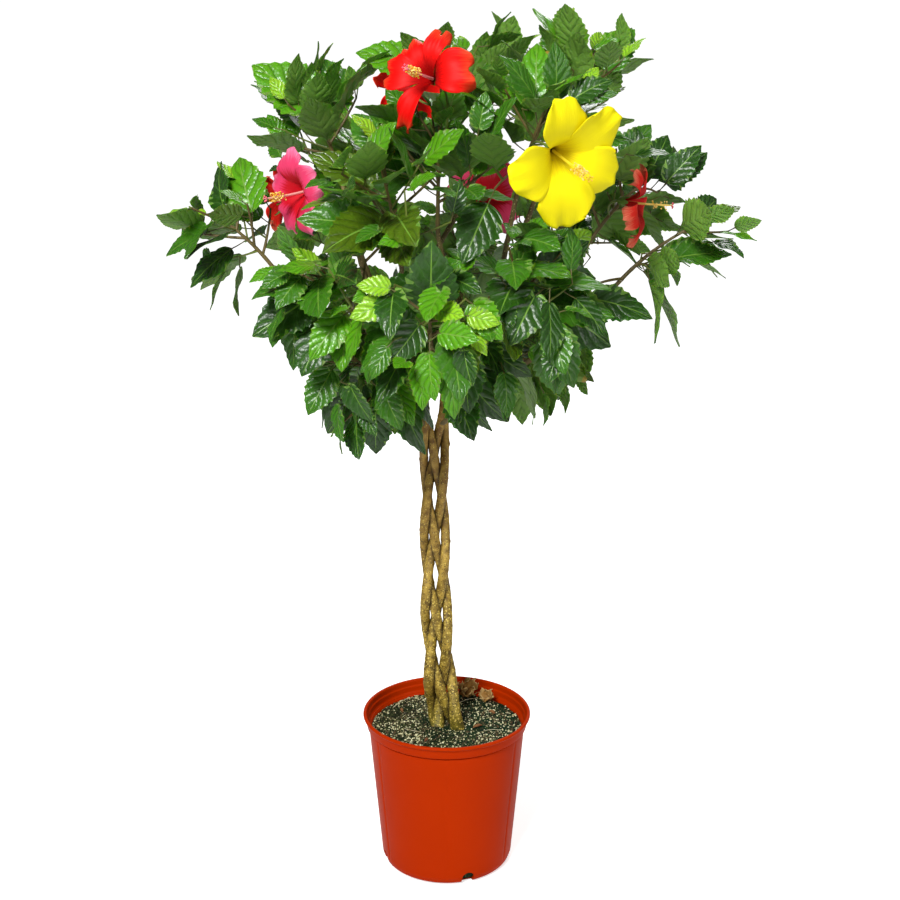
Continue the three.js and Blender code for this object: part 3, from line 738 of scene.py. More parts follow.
# Each mass: its middle, half its length along its own stem, half its width, and its seed.
MASSES = {
    "top_right": ((175, 5, 1150), 140, 115, 120),
    "top_middle": ((-10, -85, 1055), 135, 135, 887),
    "top_left": ((-165, 0, 1095), 130, 100, 275),
    "top_back": ((65, 150, 1135), 135, 125, 837),
    "upper_right": ((245, 40, 995), 120, 120, 164),
    "upper_left": ((-135, -25, 970), 150, 115, 108),
    "upper_front_right": ((115, -140, 1105), 110, 130, 643),
    "upper_front_left": ((-70, -185, 1015), 140, 115, 224),
    "upper_back_right": ((180, 185, 950), 150, 130, 681),
    "upper_back_left": ((-165, 175, 990), 140, 125, 372),
    "right_spray": ((305, -5, 945), 140, 100, 874),
    "left_spray": ((-285, -15, 960), 120, 105, 264),
    "front_middle": ((-20, -240, 875), 110, 115, 788),
    "front_right": ((95, -155, 895), 125, 135, 678),
    "front_left": ((-135, -150, 900), 125, 120, 862),
    "back_middle": ((35, 235, 895), 135, 130, 16),
    "low_right": ((105, 15, 805), 130, 120, 216),
    "low_left": ((-85, 50, 810), 110, 125, 176),
    "low_front_right": ((30, -125, 830), 115, 130, 143),
    "low_front_left": ((-90, -110, 785), 125, 120, 750),
    "low_back_right": ((85, 145, 780), 130, 120, 568),
    "low_back_left": ((-90, 140, 765), 125, 120, 273),
}

# Each bloom: the mass that carries it, its throat, the way it faces, a petal's length, its sort, and
# each petal's turn about its axis in degrees from its left, its length and half its width.
BLOOMS = {
    "yellow": (
        "upper_front_right", (135, -225, 1088), (0.42, -0.85, -0.3), 80, "yellow",
        [(74, 1.0, 0.40), (136, 1.04, 0.40), (200, 0.98, 0.46), (262, 1.08, 0.48), (341, 0.94, 0.46)],
    ),
    "red": (
        "top_middle", (-20, -150, 1176), (-0.45, -0.85, 0.2), 62, "red",
        [(53, 0.86, 0.27), (106, 0.96, 0.21), (172, 1.06, 0.44), (294, 1.20, 0.26), (5, 1.02, 0.38)],
    ),
    "pink": (
        "upper_left", (-188, -85, 1030), (-0.75, -0.6, -0.1), 58, "pink",
        [(88, 1.0, 0.42), (158, 1.02, 0.46), (226, 1.1, 0.48), (298, 1.06, 0.40), (18, 0.95, 0.44)],
    ),
    "coral": (
        "upper_right", (254, -5, 1008), (0.92, -0.3, -0.05), 56, "coral",
        [(60, 0.96, 0.28), (124, 1.0, 0.30), (200, 0.9, 0.30), (268, 1.1, 0.28), (335, 1.0, 0.30)],
    ),
    "back_pink": (
        "back_middle", (60, 285, 990), (0.3, 0.95, 0.05), 70, "pink",
        [(90, 1.0, 0.5), (162, 1.02, 0.48), (234, 1.0, 0.5), (306, 0.96, 0.52), (18, 1.0, 0.5)],
    ),
    "back_red": (
        "top_back", (-50, 190, 1150), (-0.3, 0.9, 0.35), 62, "red",
        [(80, 1.0, 0.30), (150, 1.05, 0.34), (225, 1.0, 0.30), (300, 1.1, 0.36), (10, 0.95, 0.32)],
    ),
    "back_coral": (
        "upper_back_left", (-235, 190, 1000), (-0.75, 0.65, 0), 58, "coral",
        [(95, 1.0, 0.32), (165, 1.0, 0.34), (237, 1.05, 0.32), (309, 0.96, 0.34), (20, 1.0, 0.32)],
    ),
}

mass_names = list(MASSES)
centres = np.array([MASSES[name][0] for name in mass_names], float)
half_lengths = np.array([MASSES[name][1] for name in mass_names], float)
half_widths = np.array([MASSES[name][2] for name in mass_names], float)
apart = np.linalg.norm(centres[:, None] - centres[None], axis=-1)
axes = [unit(centre - TRUNK_HEAD) for centre in centres]
bloom_throats = np.array([bloom[1] for bloom in BLOOMS.values()], float)
bloom_ways = np.array([unit(np.array(bloom[2])) for bloom in BLOOMS.values()])
bloom_sizes = np.array([b[3] for b in BLOOMS.values()], float)


class SeededDraw:
    """Repeatable numbers from 0 to 1."""

    def __init__(self, seed):
        self.state = (seed * 69621 + 12345) % 2147483647
        self()
        self()

    def __call__(self):
        self.state = self.state * 48271 % 2147483647
        return self.state / 2147483647


def mix(start, end, share):
    return start + (end - start) * share


def opened_from(axis, opening, around):
    """A direction opened from an axis by one angle and turned round it by another."""
    side, other = across(axis)
    return unit(
        axis * math.cos(opening)
        + side * math.sin(opening) * math.cos(around)
        + other * math.sin(opening) * math.sin(around)
    )


def egg_share(mass, points):
    """How far out some points are in a mass's egg shape: 1 is on its skin."""
    offset = np.atleast_2d(points) - centres[mass]
    along = offset @ axes[mass]
    aside = np.linalg.norm(offset - along[:, None] * axes[mass], axis=1)
    return np.hypot(along / half_lengths[mass], aside / half_widths[mass])


def in_own_cell(mass, points, margin=CLEAR_GAP):
    """True for each point that lies on its mass's side of every wall."""
    power = ((np.atleast_2d(points)[:, None] - centres) ** 2).sum(-1) - half_widths**2
    clear = power[:, mass, None] + 2 * margin * apart[mass] < power
    clear[:, mass] = True
    return clear.all(1)


def room_along(mass, start, heading, limit):
    """How far a twig can run from a point before it reaches a limit or a wall of its mass's cell."""
    length = 0
    while length + 4 <= limit:
        if not in_own_cell(mass, start + heading * (length + 4), TWIG_MARGIN)[0]:
            break
        length += 4
    return length


class Curve:
    """A Bezier curve through its control points."""

    def __init__(self, *controls):
        self.controls = np.array(controls, float)

    def at(self, t):
        t = np.atleast_1d(np.asarray(t, float))[:, None]
        order = len(self.controls) - 1
        shares = [math.comb(order, k) * t**k * (1 - t) ** (order - k) for k in range(order + 1)]
        return sum(share * point for share, point in zip(shares, self.controls))

    def way(self, t):
        step = 1e-4
        ends = self.at([max(0, t - step), min(1, t + step)])
        return unit(ends[1] - ends[0])


def lay_boughs():
    """Each bough leaves the stem nearest its side, the lowest masses' first, and ends in its mass."""
    taken = [0, 0, 0, 0]
    made = {}
    for mass in sorted(range(len(mass_names)), key=lambda m: axes[m][2]):
        level = np.array([centres[mass][0], centres[mass][1], LEADER_TOP])
        costs = [np.linalg.norm(stem_points(s, LEADER_TOP) - level) + 14 * taken[s] for s in range(4)]
        stem = int(np.argmin(costs))
        height = min(LEADER_TOP - 4, FORK_HEIGHT - 12 + 20 * taken[stem])
        taken[stem] += 1
        start = stem_points(stem, height)
        inward = room_along(mass, centres[mass], -axes[mass], 0.55 * half_lengths[mass])
        tip = centres[mass] - axes[mass] * inward
        span = np.linalg.norm(tip - start)
        leave = unit(start - np.array([BRAID_LEAN, 0, height])) + axes[mass] * 0.8 + UP * 0.35
        arrive = unit(axes[mass] + UP * 0.3)
        made[mass] = Curve(start, start + unit(leave) * span * 0.4, tip - arrive * span * 0.3, tip)
    return [made[mass] for mass in range(len(mass_names))]


boughs = lay_boughs()
bough_spots = np.concatenate([bough.at(np.linspace(0, 1, 15)) for bough in boughs])


def touches_limb(points):
    """True for each point that is nearer to a limb than its bark and a gap."""
    points = np.atleast_2d(points)
    low = points[:, 2] < LEADER_TOP + 6
    hit = np.zeros(len(points), bool)
    for stem in range(4):
        apart_from = np.linalg.norm(points - stem_points(stem, points[:, 2]), axis=1)
        hit |= low & (apart_from < stem_radius(points[:, 2]) + 3)
    near = np.linalg.norm(points[:, None] - bough_spots, axis=-1).min(1)
    return hit | (near < BOUGH_FOOT + 4)


def in_bloom(points):
    """True for each point in the space that a bloom opens into, or round its calyx behind it."""
    offset = np.atleast_2d(points)[:, None] - bloom_throats
    ahead = (offset * bloom_ways).sum(-1)
    aside = np.linalg.norm(offset - ahead[..., None] * bloom_ways, axis=-1)
    before = (ahead > -0.12 * bloom_sizes) & (ahead < 1.3 * bloom_sizes) & (aside < 1.08 * bloom_sizes)
    behind = (ahead > -0.7 * bloom_sizes) & (ahead < 0) & (aside < 0.3 * bloom_sizes)
    return (before | behind).any(1)


def in_sky_gap(points):
    """True for each point that would close a gap in the crown, as seen from the front."""
    points = np.atleast_2d(points)
    seen = EYE + (points - EYE) * (-EYE[1] / (points[:, 1] - EYE[1]))[:, None]
    hit = np.zeros(len(points), bool)
    for x, z, reach in SKY_GAPS:
        hit |= np.hypot(seen[:, 0] - x, seen[:, 2] - z) < reach
    return hit


def mass_stem(mass):
    """The mass's own stem carries on from the bough's tip."""
    heading = boughs[mass].way(1)
    start = boughs[mass].at(1)[0] + heading * CLEAR_GAP
    ahead = room_along(mass, centres[mass], axes[mass], 0.45 * half_lengths[mass])
    end = centres[mass] + axes[mass] * ahead
    return Curve(start, start + heading * np.linalg.norm(end - start) * 0.5, end)


def twig_is_free(mass, shoot, margin=TWIG_MARGIN):
    outer = shoot.at(np.linspace(0, 1, 9))[2:]
    return bool((in_own_cell(mass, outer, margin) & ~touches_limb(outer) & ~in_bloom(outer)).all())


def mass_shoots(mass, stem, draw):
    """The side shoots of a mass, wide at the foot of its stem and along it at its end."""
    shoots = [stem]
    low = np.clip((1000 - centres[mass][2]) / 260, 0, 1)
    for i in range(SHOOTS_PER_MASS):
        share = (i + 1) / (SHOOTS_PER_MASS + 1)
        start = stem.at(0.08 + 0.85 * share)[0]
        around = i * GOLDEN_ANGLE + draw() * 0.8 + MASSES[mass_names[mass]][3]
        opening = math.radians(mix(85, 40, share)) + (draw() - 0.5) * 0.3
        heading = unit(opened_from(axes[mass], opening, around) + UP * mix(0.3, -0.1, low))
        reach = 16
        while egg_share(mass, start + heading * reach)[0] < 0.62:
            reach += 4
        length = room_along(mass, start, heading, reach)
        end = start + heading * length + axes[mass] * length * 0.12
        shoot = Curve(start, start + heading * length * 0.5, end)
        if length > 16 and twig_is_free(mass, shoot):
            shoots.append(shoot)
    return shoots


def hang_leaf(node, along, around, age, size, jitter):
    """A leaf's place: its node on the twig, its blade's foot, and the ways it runs and faces."""
    opening = math.radians(mix(28, 68, age)) + (jitter[0] - 0.5) * 0.3
    away = opened_from(along, opening, around)
    low = np.clip((1085 - node[2]) / 300, 0, 1)
    base = node + away * PETIOLE_LENGTH * size * (0.75 + 0.5 * jitter[1])
    outward = unit(node - CROWN_HEART)
    heading = unit(away + outward * 0.3 - UP * mix(-0.4, 1.25, low) * age)
    facing = outward + UP * mix(1.1, 0.5, low)
    facing = unit(facing - heading * facing.dot(heading))
    tilt = (jitter[2] - 0.5) * 1.5
    facing = facing * math.cos(tilt) + np.cross(heading, facing) * math.sin(tilt)
    return {"node": node, "base": base, "heading": heading, "facing": facing, "size": size}


# A blade's corners: shoulders, flanks, tip and middle, across, along and out of it.
CORNERS = [(-1, 0.28, 0.07), (1, 0.28, 0.07), (-0.66, 0.68, 0), (0.66, 0.68, 0), (0, 1, -0.12), (0, 0.42, 0)]


def outline_leaf(leaf):
    """Adds a leaf's corners, and its edges and faces to test for crossings."""
    side = np.cross(leaf["heading"], leaf["facing"])
    reach = np.array([LEAF_WIDTH / 2, LEAF_LENGTH, LEAF_LENGTH]) * leaf["size"]
    corners = leaf["base"] + (np.array(CORNERS) * reach) @ np.array([side, leaf["heading"], leaf["facing"]])
    left, right, left_flank, right_flank, tip, middle = corners
    rim = [leaf["base"], left, left_flank, tip, right_flank, right, leaf["base"]]
    spine = [leaf["node"], leaf["base"], middle, tip]
    leaf["corners"] = corners
    leaf["edges"] = np.array(list(zip(rim, rim[1:])) + list(zip(spine, spine[1:])))
    leaf["faces"] = np.array([(middle, a, b) for a, b in zip(rim, rim[1:])])
    return leaf


def any_crossed(edges, faces):
    """True where any straight edge passes through any triangle."""
    if len(edges) == 0 or len(faces) == 0:
        return False
    start, way = edges[:, None, 0], (edges[:, 1] - edges[:, 0])[:, None]
    corner, first, second = faces[None, :, 0], faces[:, 1] - faces[:, 0], faces[:, 2] - faces[:, 0]
    cross = np.cross(way, second[None])
    volume = (cross * first[None]).sum(-1)
    volume = np.where(np.abs(volume) < 1e-9, np.inf, volume)
    offset = start - corner
    u = (offset * cross).sum(-1) / volume
    turned_offset = np.cross(offset, first[None])
    v = (way * turned_offset).sum(-1) / volume
    t = (second[None] * turned_offset).sum(-1) / volume
    return bool(((u >= 0) & (v >= 0) & (u + v <= 1) & (t > 0) & (t < 1)).any())


def leaf_fits(mass, leaf, twigs, placed, skin=1.0):
    """True where a leaf stays in its cell and clear of limbs, blooms, twigs and other leaves."""
    outline_leaf(leaf)
    corners = leaf["corners"]
    if not in_own_cell(mass, np.vstack([corners, leaf["node"]])).all():
        return False
    if (egg_share(mass, corners) >= skin).any() or in_sky_gap(corners).any():
        return False
    tested = np.vstack([corners, (corners + leaf["base"]) / 2])
    if touches_limb(tested).any() or in_bloom(tested).any() or any_crossed(twigs, leaf["faces"]):
        return False
    if not placed:
        return True
    middles = np.array([other["corners"][5] for other in placed])
    near = np.flatnonzero(np.linalg.norm(middles - corners[5], axis=1) < LEAF_LENGTH * 1.6)
    if len(near) == 0:
        return True
    edges = np.concatenate([placed[k]["edges"] for k in near])
    faces = np.concatenate([placed[k]["faces"] for k in near])
    return not (any_crossed(leaf["edges"], faces) or any_crossed(edges, leaf["faces"]))


def shoot_leaves(mass, shoot, spray, twigs, leaves, draw, spacing=NODE_SPACING, young=0.4, tries=4, skin=1):
    """Sets leaves down a shoot, the youngest at its tip, and returns how far out the last one is."""
    length = np.linalg.norm(shoot.at(0) - shoot.at(1))
    count = max(3, math.floor(length * 0.85 / spacing + 0.5))
    turn = draw() * 2 * math.pi
    outmost = 0
    for k in range(count):
        t = 0.98 - 0.83 * k / count
        node = shoot.at(t)[0]
        age = min(1, young + 0.22 * k)
        jitter = [draw(), draw(), draw(), draw()]
        for attempt in range(tries):
            around = turn + k * GOLDEN_ANGLE + attempt * 1.6
            size = age * (0.85 + 0.3 * jitter[3]) * (1 - 0.08 * attempt)
            leaf = hang_leaf(node, shoot.way(t), around, age, size, jitter)
            if leaf_fits(mass, leaf, twigs, leaves, skin):
                leaves.append({**leaf, "spray": spray, "age": age, "mass": mass})
                outmost = max(outmost, t)
                break
    return outmost


def straight_runs(curve, count):
    points = curve.at(np.linspace(0, 1, count + 1))
    return np.stack([points[:-1], points[1:]], axis=1)


# Finer twigs leave every shoot by the same rule, shorter and with smaller leaves, and fill in what
# room the first leaves left.
FINE_SPACING = 24
FINE_SPACING_BEHIND = 18
FINE_LEAF_SPACING = 17
FINE_REACH = 74
FINE_SKIN = 0.99


def finer_twigs(mass, shoots, draw):
    """The short side twigs of a mass's shoots."""
    made = []
    spacing = FINE_SPACING_BEHIND if "back" in mass_names[mass] else FINE_SPACING
    for shoot in shoots:
        length = np.linalg.norm(shoot.at(0) - shoot.at(1))
        count = max(2, int(length / spacing))
        turn = draw() * 2 * math.pi
        for k in range(count):
            t = 0.2 + 0.72 * (k + 0.5) / count
            start = shoot.at(t)[0]
            opening = math.radians(48 + 26 * draw())
            heading = opened_from(shoot.way(t), opening, turn + k * GOLDEN_ANGLE)
            heading = unit(heading + 0.25 * unit(start - CROWN_HEART))
            reach = 12
            while reach < FINE_REACH and egg_share(mass, start + heading * reach)[0] < 0.86:
                reach += 4
            span = room_along(mass, start, heading, reach)
            twig = Curve(start, start + heading * span * 0.5, start + heading * span + UP * span * 0.12)
            if span > 14 and twig_is_free(mass, twig, 1):
                made.append(twig)
    return made


def grow_mass(mass):
    """One mass from its seed: its stem, shoots and finer twigs, and all the leaves that fit."""
    draw = SeededDraw(MASSES[mass_names[mass]][3])
    stem = mass_stem(mass)
    shoots = mass_shoots(mass, stem, draw)
    twigs = np.concatenate([straight_runs(shoot, 4) for shoot in shoots])
    leaves = []
    for k, shoot in enumerate(shoots):
        shoot_leaves(mass, shoot, k, twigs, leaves, draw)
    for share, end, heading, facing, size in LONG_SHOOTS.get(mass_names[mass], []):
        start = stem.at(share)[0]
        shoot = Curve(start, (start + end) / 2 + UP * 10, end)
        shoots.append(shoot)
        twigs = np.concatenate([twigs, straight_runs(shoot, 4)])
        heading = unit(np.array(heading))
        facing = unit(np.array(facing) - heading * heading.dot(facing))
        last = {"node": shoot.at(1)[0], "base": shoot.at(1)[0] + heading * PETIOLE_LENGTH * size}
        last |= {"heading": heading, "facing": facing, "size": size, "mass": mass}
        leaves.append(outline_leaf(last | {"spray": len(shoots), "age": 1}))
        shoot_leaves(mass, shoot, len(shoots), twigs, leaves, draw, NODE_SPACING, 0.95, 8, 3)
    fine = finer_twigs(mass, shoots, draw)
    twigs = np.concatenate([twigs] + [straight_runs(twig, 2) for twig in fine])
    leafy = []
    for k, twig in enumerate(fine):
        out = shoot_leaves(mass, twig, 10 + k, twigs, leaves, draw, FINE_LEAF_SPACING, 0.62, 6, FINE_SKIN)
        if out:
            leafy.append((twig, out))
    return {"stem": stem, "shoots": shoots[1:], "fine": leafy, "leaves": leaves}


grown = [grow_mass(mass) for mass in range(len(mass_names))]


# ---------------------------------------------------------------- boughs and twigs

# The boughs are two-year-old wood in a thin grey-brown bark with pale pores and a collar where each
# leaves its stem. Twigs of the season are green-brown and swell a little at every leaf.

BOUGH_SIDES = 12
COLLAR_LENGTH = 9


def bough_bark():
    """Young bark, smooth and slightly waxy, mottled from grey-green to brown."""
    material, tree, shader, place = start_material("young_bough_bark", "#6b5c34", 0.6)
    cloud = add_node(tree, "ShaderNodeTexNoise", {"Vector": place, "Scale": 60.0, "Detail": 4.0})
    patch = add_node(
        tree,
        "ShaderNodeMapRange",
        {"Value": cloud.outputs["Fac"], "From Min": 0.38, "From Max": 0.62},
    )
    bark = add_node(
        tree,
        "ShaderNodeMix",
        {0: patch.outputs["Result"], 6: linear("#5a4a28"), 7: linear("#7f7040")},
        data_type="RGBA",
    )
    pores = add_node(tree, "ShaderNodeTexVoronoi", {"Vector": place, "Scale": 260.0})
    pale = add_node(
        tree, "ShaderNodeMath", {0: pores.outputs["Distance"], 1: 0.2}, operation="LESS_THAN"
    )
    colour = add_node(
        tree,
        "ShaderNodeMix",
        {0: pale.outputs["Value"], 6: bark.outputs[2], 7: linear("#b3a46e")},
        data_type="RGBA",
    )
    tree.links.new(colour.outputs[2], shader.inputs["Base Color"])
    bump = add_node(
        tree, "ShaderNodeBump", {"Height": cloud.outputs["Fac"], "Strength": 0.4, "Distance": 0.0008}
    )
    tree.links.new(bump.outputs["Normal"], shader.inputs["Normal"])
    return material


def twig_bark(name, base):
    """A green shoot's skin: plain in colour, with the faint grain of its fibres."""
    material, tree, shader, place = start_material(name, base, 0.5)
    grain = add_node(tree, "ShaderNodeTexNoise", {"Vector": place, "Scale": 380.0, "Detail": 3.0})
    bump = add_node(
        tree, "ShaderNodeBump", {"Height": grain.outputs["Fac"], "Strength": 0.3, "Distance": 0.0005}
    )
    tree.links.new(bump.outputs["Normal"], shader.inputs["Normal"])
    return material


bough_skin = bough_bark()
for mass, name in enumerate(mass_names):
    rings = 3 + int(np.linalg.norm(boughs[mass].at(0) - boughs[mass].at(1)) / 5)
    shares = np.linspace(0, 1, rings)
    line = boughs[mass].at(shares)
    length = np.concatenate([[0], np.cumsum(np.linalg.norm(np.diff(line, axis=0), axis=1))])
    girth = mix(BOUGH_FOOT, BOUGH_TIP, shares) + 1.3 * np.exp(-((length / COLLAR_LENGTH) ** 2))
    relief = bark_relief(length, BOUGH_SIDES, girth, 100 + mass) * 0.7
    points, faces = tube(line, girth[:, None] + relief, BOUGH_SIDES)
    bark = make_piece(f"bough_{name}_bark", points, faces, [bough_skin], crease=70)
    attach(bark, "root")
    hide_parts(f"bough_{name}")


class Gathered:
    """Points and faces of many small shapes in one mesh, with each face's slot and each point's UV."""

    def __init__(self):
        self.points, self.faces, self.slots, self.places, self.count = [], [], [], [], 0

    def add(self, points, faces, slots, places=None):
        self.points.append(points)
        self.faces += [tuple(corner + self.count for corner in face) for face in faces]
        self.slots += slots if isinstance(slots, list) else [slots] * len(faces)
        self.places.append(np.zeros((len(points), 2)) if places is None else places)
        self.count += len(points)

    def piece(self, name, materials, crease=60, chart_name=None):
        made = make_piece(name, np.concatenate(self.points), self.faces, materials, self.slots, crease)
        if chart_name:
            chart_by_point(made.data, chart_name, np.concatenate(self.places))
        return made


TIERS = {
    "top": mass_names[0:4],
    "upper": mass_names[4:10],
    "middle": mass_names[10:16],
    "low": mass_names[16:22],
}


def twig_tube(curve, foot_radius, tip_radius, sides, node_spacing, end=1):
    """A twig that tapers and swells a little at its nodes, cut short past its last leaf."""
    length = np.linalg.norm(curve.at(0) - curve.at(1))
    rings = max(4, int(length / 4))
    shares = np.linspace(0, end, rings)
    swell = 0.12 * np.clip(np.cos(shares * length / node_spacing * 2 * math.pi), 0, 1) ** 4
    return tube(curve.at(shares), mix(foot_radius, tip_radius, shares) * (1 + swell), sides)


twig_skins = [twig_bark("ripened_twig", "#6a5c30"), twig_bark("green_twig", "#6f7d33")]
for tier, names in TIERS.items():
    gathered = Gathered()
    for name in names:
        mass = mass_names.index(name)
        growth = grown[mass]
        gathered.add(*twig_tube(growth["stem"], BOUGH_TIP, 1.6, 8, NODE_SPACING), 0)
        for shoot in growth["shoots"]:
            gathered.add(*twig_tube(shoot, 2.2, 1.4, 7, NODE_SPACING), 0)
        for twig, out in growth["fine"]:
            gathered.add(*twig_tube(twig, 1.5, 1.0, 5, FINE_LEAF_SPACING, out + 0.01), 1)
    twigs = gathered.piece(f"twigs_{tier}", twig_skins)
    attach(twigs, "root")
    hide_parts(*[f"foliage_{name}" for name in names])


# ---------------------------------------------------------------- leaves

# A hibiscus leaf is a glossy oval blade with coarse teeth, quilted between its side veins, with a pale
# midrib and a paler, duller underside. Young leaves at the shoot tips are bright lime.

LEAF_ROWS = [0.012, 0.08, 0.17, 0.27, 0.37, 0.48, 0.60, 0.72, 0.85, 0.985]
LEAF_COLUMNS = [-1, -0.5, -0.035, 0.035, 0.5, 1]
LEAF_UNDER_GAP = 0.012  # the blade's thickness, as a share of its length
VEIN_PAIRS = 5.5
BLADE_GROWTH = 1.14  # the drawn blade, against the outline kept clear for it
VEIN_SLANT = 0.34
LEAF_GLOW_DEPTH = 0.002  # metres that light spreads through a blade, so its shaded side glows
VEIN_PAINTED_SHADE, PUFF_PAINTED_HIGHLIGHT = 0.58, 1.14  # the green darkened in the veins as painted shade and lifted on the puffs as painted highlight, against its mean
LEAF_SHADES = ["deep", "mid", "fresh", "lime", "olive"]
LEAF_TINTS = {"deep": "#1f4509", "mid": "#33680c", "fresh": "#549411", "lime": "#8cc028", "olive": "#4a6410"}


def blade_width(y):
    """A blade's width at a share of its length, against its greatest."""
    return 2.68 * y**0.55 * (1 - y) ** 0.95


def leaf_blade(fold, wave, hook, phase):
    """Points, places and faces of one blade, with each face's kind: blade, rib or under."""
    points, places = [], []

    def spot(u, v, lift, tooth=0.0):
        y = min(v + VEIN_SLANT * 0.7 * abs(u) * v * (1 - v) + tooth * 0.25, 0.995)
        ripple = wave * math.sin(9 * y + phase + (1.4 if u > 0 else 0)) * abs(u) * math.sin(math.pi * y)
        z = fold * abs(u) * (1 - 1.25 * y) + hook * y**2.4 + ripple + lift
        points.append((u * blade_width(y) * (1 + tooth), y, z))
        places.append(((u + 1) / 2, y))
        return len(points) - 1

    upper, under, notches = [], [], []
    for i, v in enumerate(LEAF_ROWS):
        puff = 0.010 if i % 2 else 0.002
        lifts = [0, puff, -0.006, -0.006, puff, 0]
        tooth = 0.08 if v > 0.2 else 0.0
        upper.append([spot(u, v, z, tooth if abs(u) == 1 else 0) for u, z in zip(LEAF_COLUMNS, lifts)])
        under.append(spot(0, v, -0.006 - LEAF_UNDER_GAP))
    for low, high in zip(LEAF_ROWS, LEAF_ROWS[1:]):
        middle = low + (high - low) * 0.66
        notches.append([spot(side, middle, 0, -0.06 if middle > 0.2 else 0) for side in (-1, 1)])
    faces, kinds = [], []
    for i, (row, after) in enumerate(zip(upper, upper[1:])):
        left, right = notches[i]
        faces.append((row[0], row[1], after[1], after[0], left))
        faces += [(row[c], row[c + 1], after[c + 1], after[c]) for c in (1, 2, 3)]
        faces.append((row[4], row[5], right, after[5], after[4]))
        faces.append((under[i], under[i + 1], after[5], right, row[5]))
        faces.append((under[i], row[0], left, after[0], under[i + 1]))
        kinds += ["blade", "blade", "rib", "blade", "blade", "under", "under"]
    faces.append((under[0], *reversed(upper[0])))
    faces.append((under[-1], *upper[-1]))
    kinds += ["under", "under"]
    return np.array(points), faces, kinds, np.array(places)


# Sorts of blade: how far it folds up from its midrib, waves at its margin and hooks down at its tip.
BLADES = [
    leaf_blade(0.07, 0.030, -0.14, 0.0),
    leaf_blade(0.12, 0.040, -0.24, 1.7),
    leaf_blade(0.03, 0.045, -0.10, 3.1),
    leaf_blade(0.16, 0.028, -0.18, 4.4),
    leaf_blade(0.06, 0.055, -0.30, 5.3),
    leaf_blade(0.09, 0.035, -0.06, 2.4),
    leaf_blade(-0.03, 0.040, -0.20, 0.9),
]


def leaf_skin(name, base, roughness):
    """A waxy cuticle: plain in colour, with the fine net of small veins as bump."""
    material, tree, shader, place = start_material(name, base, roughness)
    net = add_node(tree, "ShaderNodeTexVoronoi", {"Vector": place, "Scale": 260.0})
    bump = add_node(
        tree, "ShaderNodeBump", {"Height": net.outputs["Distance"], "Strength": 0.22, "Distance": 0.0006}
    )
    tree.links.new(bump.outputs["Normal"], shader.inputs["Normal"])
    return material


def quilted_leaf(name, base, roughness, vein=None, narrow=0.35):
    """A glossy blade that is puffed up between sunken side veins, which slant out to its teeth. Its colour
    is lifted on the puffs as painted highlight, and its veins take the given vein colour, or are darkened as
    painted shade where none is given.
    """
    material, tree, shader, place = start_material(name, base, roughness)

    def sums(operation, first, second=0.0):
        return add_node(tree, "ShaderNodeMath", {0: first, 1: second}, operation=operation).outputs["Value"]

    blade = add_node(tree, "ShaderNodeUVMap", uv_map="blade").outputs["UV"]
    split = add_node(tree, "ShaderNodeSeparateXYZ", {"Vector": blade})
    off_rib = sums("ABSOLUTE", sums("SUBTRACT", sums("MULTIPLY", split.outputs["X"], 2.0), 1.0))
    bend = add_node(tree, "ShaderNodeTexNoise", {"Vector": place, "Scale": 22.0}).outputs["Fac"]
    slanted = sums("SUBTRACT", split.outputs["Y"], sums("MULTIPLY", off_rib, VEIN_SLANT))
    along = sums("ADD", slanted, sums("MULTIPLY", bend, 0.22))
    puffed = sums("ABSOLUTE", sums("SINE", sums("MULTIPLY", along, VEIN_PAIRS * math.pi)))
    net = add_node(tree, "ShaderNodeTexVoronoi", {"Vector": place, "Scale": 210.0}).outputs["Distance"]
    height = sums("ADD", sums("POWER", puffed, 0.6), sums("MULTIPLY", net, -0.45))
    bump = add_node(tree, "ShaderNodeBump", {"Height": height, "Strength": 0.6, "Distance": 0.002})
    tree.links.new(bump.outputs["Normal"], shader.inputs["Normal"])
    shader.inputs["Subsurface Weight"].default_value = 0.35
    shader.inputs["Subsurface Radius"].default_value = (0.5, 1.0, 0.1)
    shader.inputs["Subsurface Scale"].default_value = LEAF_GLOW_DEPTH
    # Painted shade and highlight: where no vein colour is given, the veins darken to a share of the base
    # green, and the puffs lighten above it.
    sunken = linear(vein) if vein else tuple(share * VEIN_PAINTED_SHADE for share in linear(base)[:3]) + (1,)
    puff_highlight = tuple(min(1, share * PUFF_PAINTED_HIGHLIGHT) for share in linear(base)[:3]) + (1,)
    lit = sums("ADD", sums("POWER", puffed, narrow), sums("MULTIPLY", bend, 0.5))
    lit = sums("SUBTRACT", lit, 0.3)
    green = add_node(tree, "ShaderNodeMix", {0: lit, 6: sunken, 7: puff_highlight}, data_type="RGBA")
    tree.links.new(green.outputs[2], shader.inputs["Base Color"])
    return material


leaf_skins = [
    quilted_leaf("deep_leaf", LEAF_TINTS["deep"], 0.33, "#4c7a30", 0.16),
    quilted_leaf("mid_leaf", LEAF_TINTS["mid"], 0.31, "#5c8a34", 0.16),
]
leaf_skins += [quilted_leaf(f"{shade}_leaf", LEAF_TINTS[shade], 0.30) for shade in LEAF_SHADES[2:]]
leaf_skins += [
    leaf_skin("pale_midrib", "#6f9a35", 0.42),
    quilted_leaf("leaf_underside", "#6c953a", 0.5, "#4f7528", 0.18),
    leaf_skin("leaf_stalk", "#5d5a2c", 0.5),
]
RIB, UNDER, STALK = 5, 6, 7


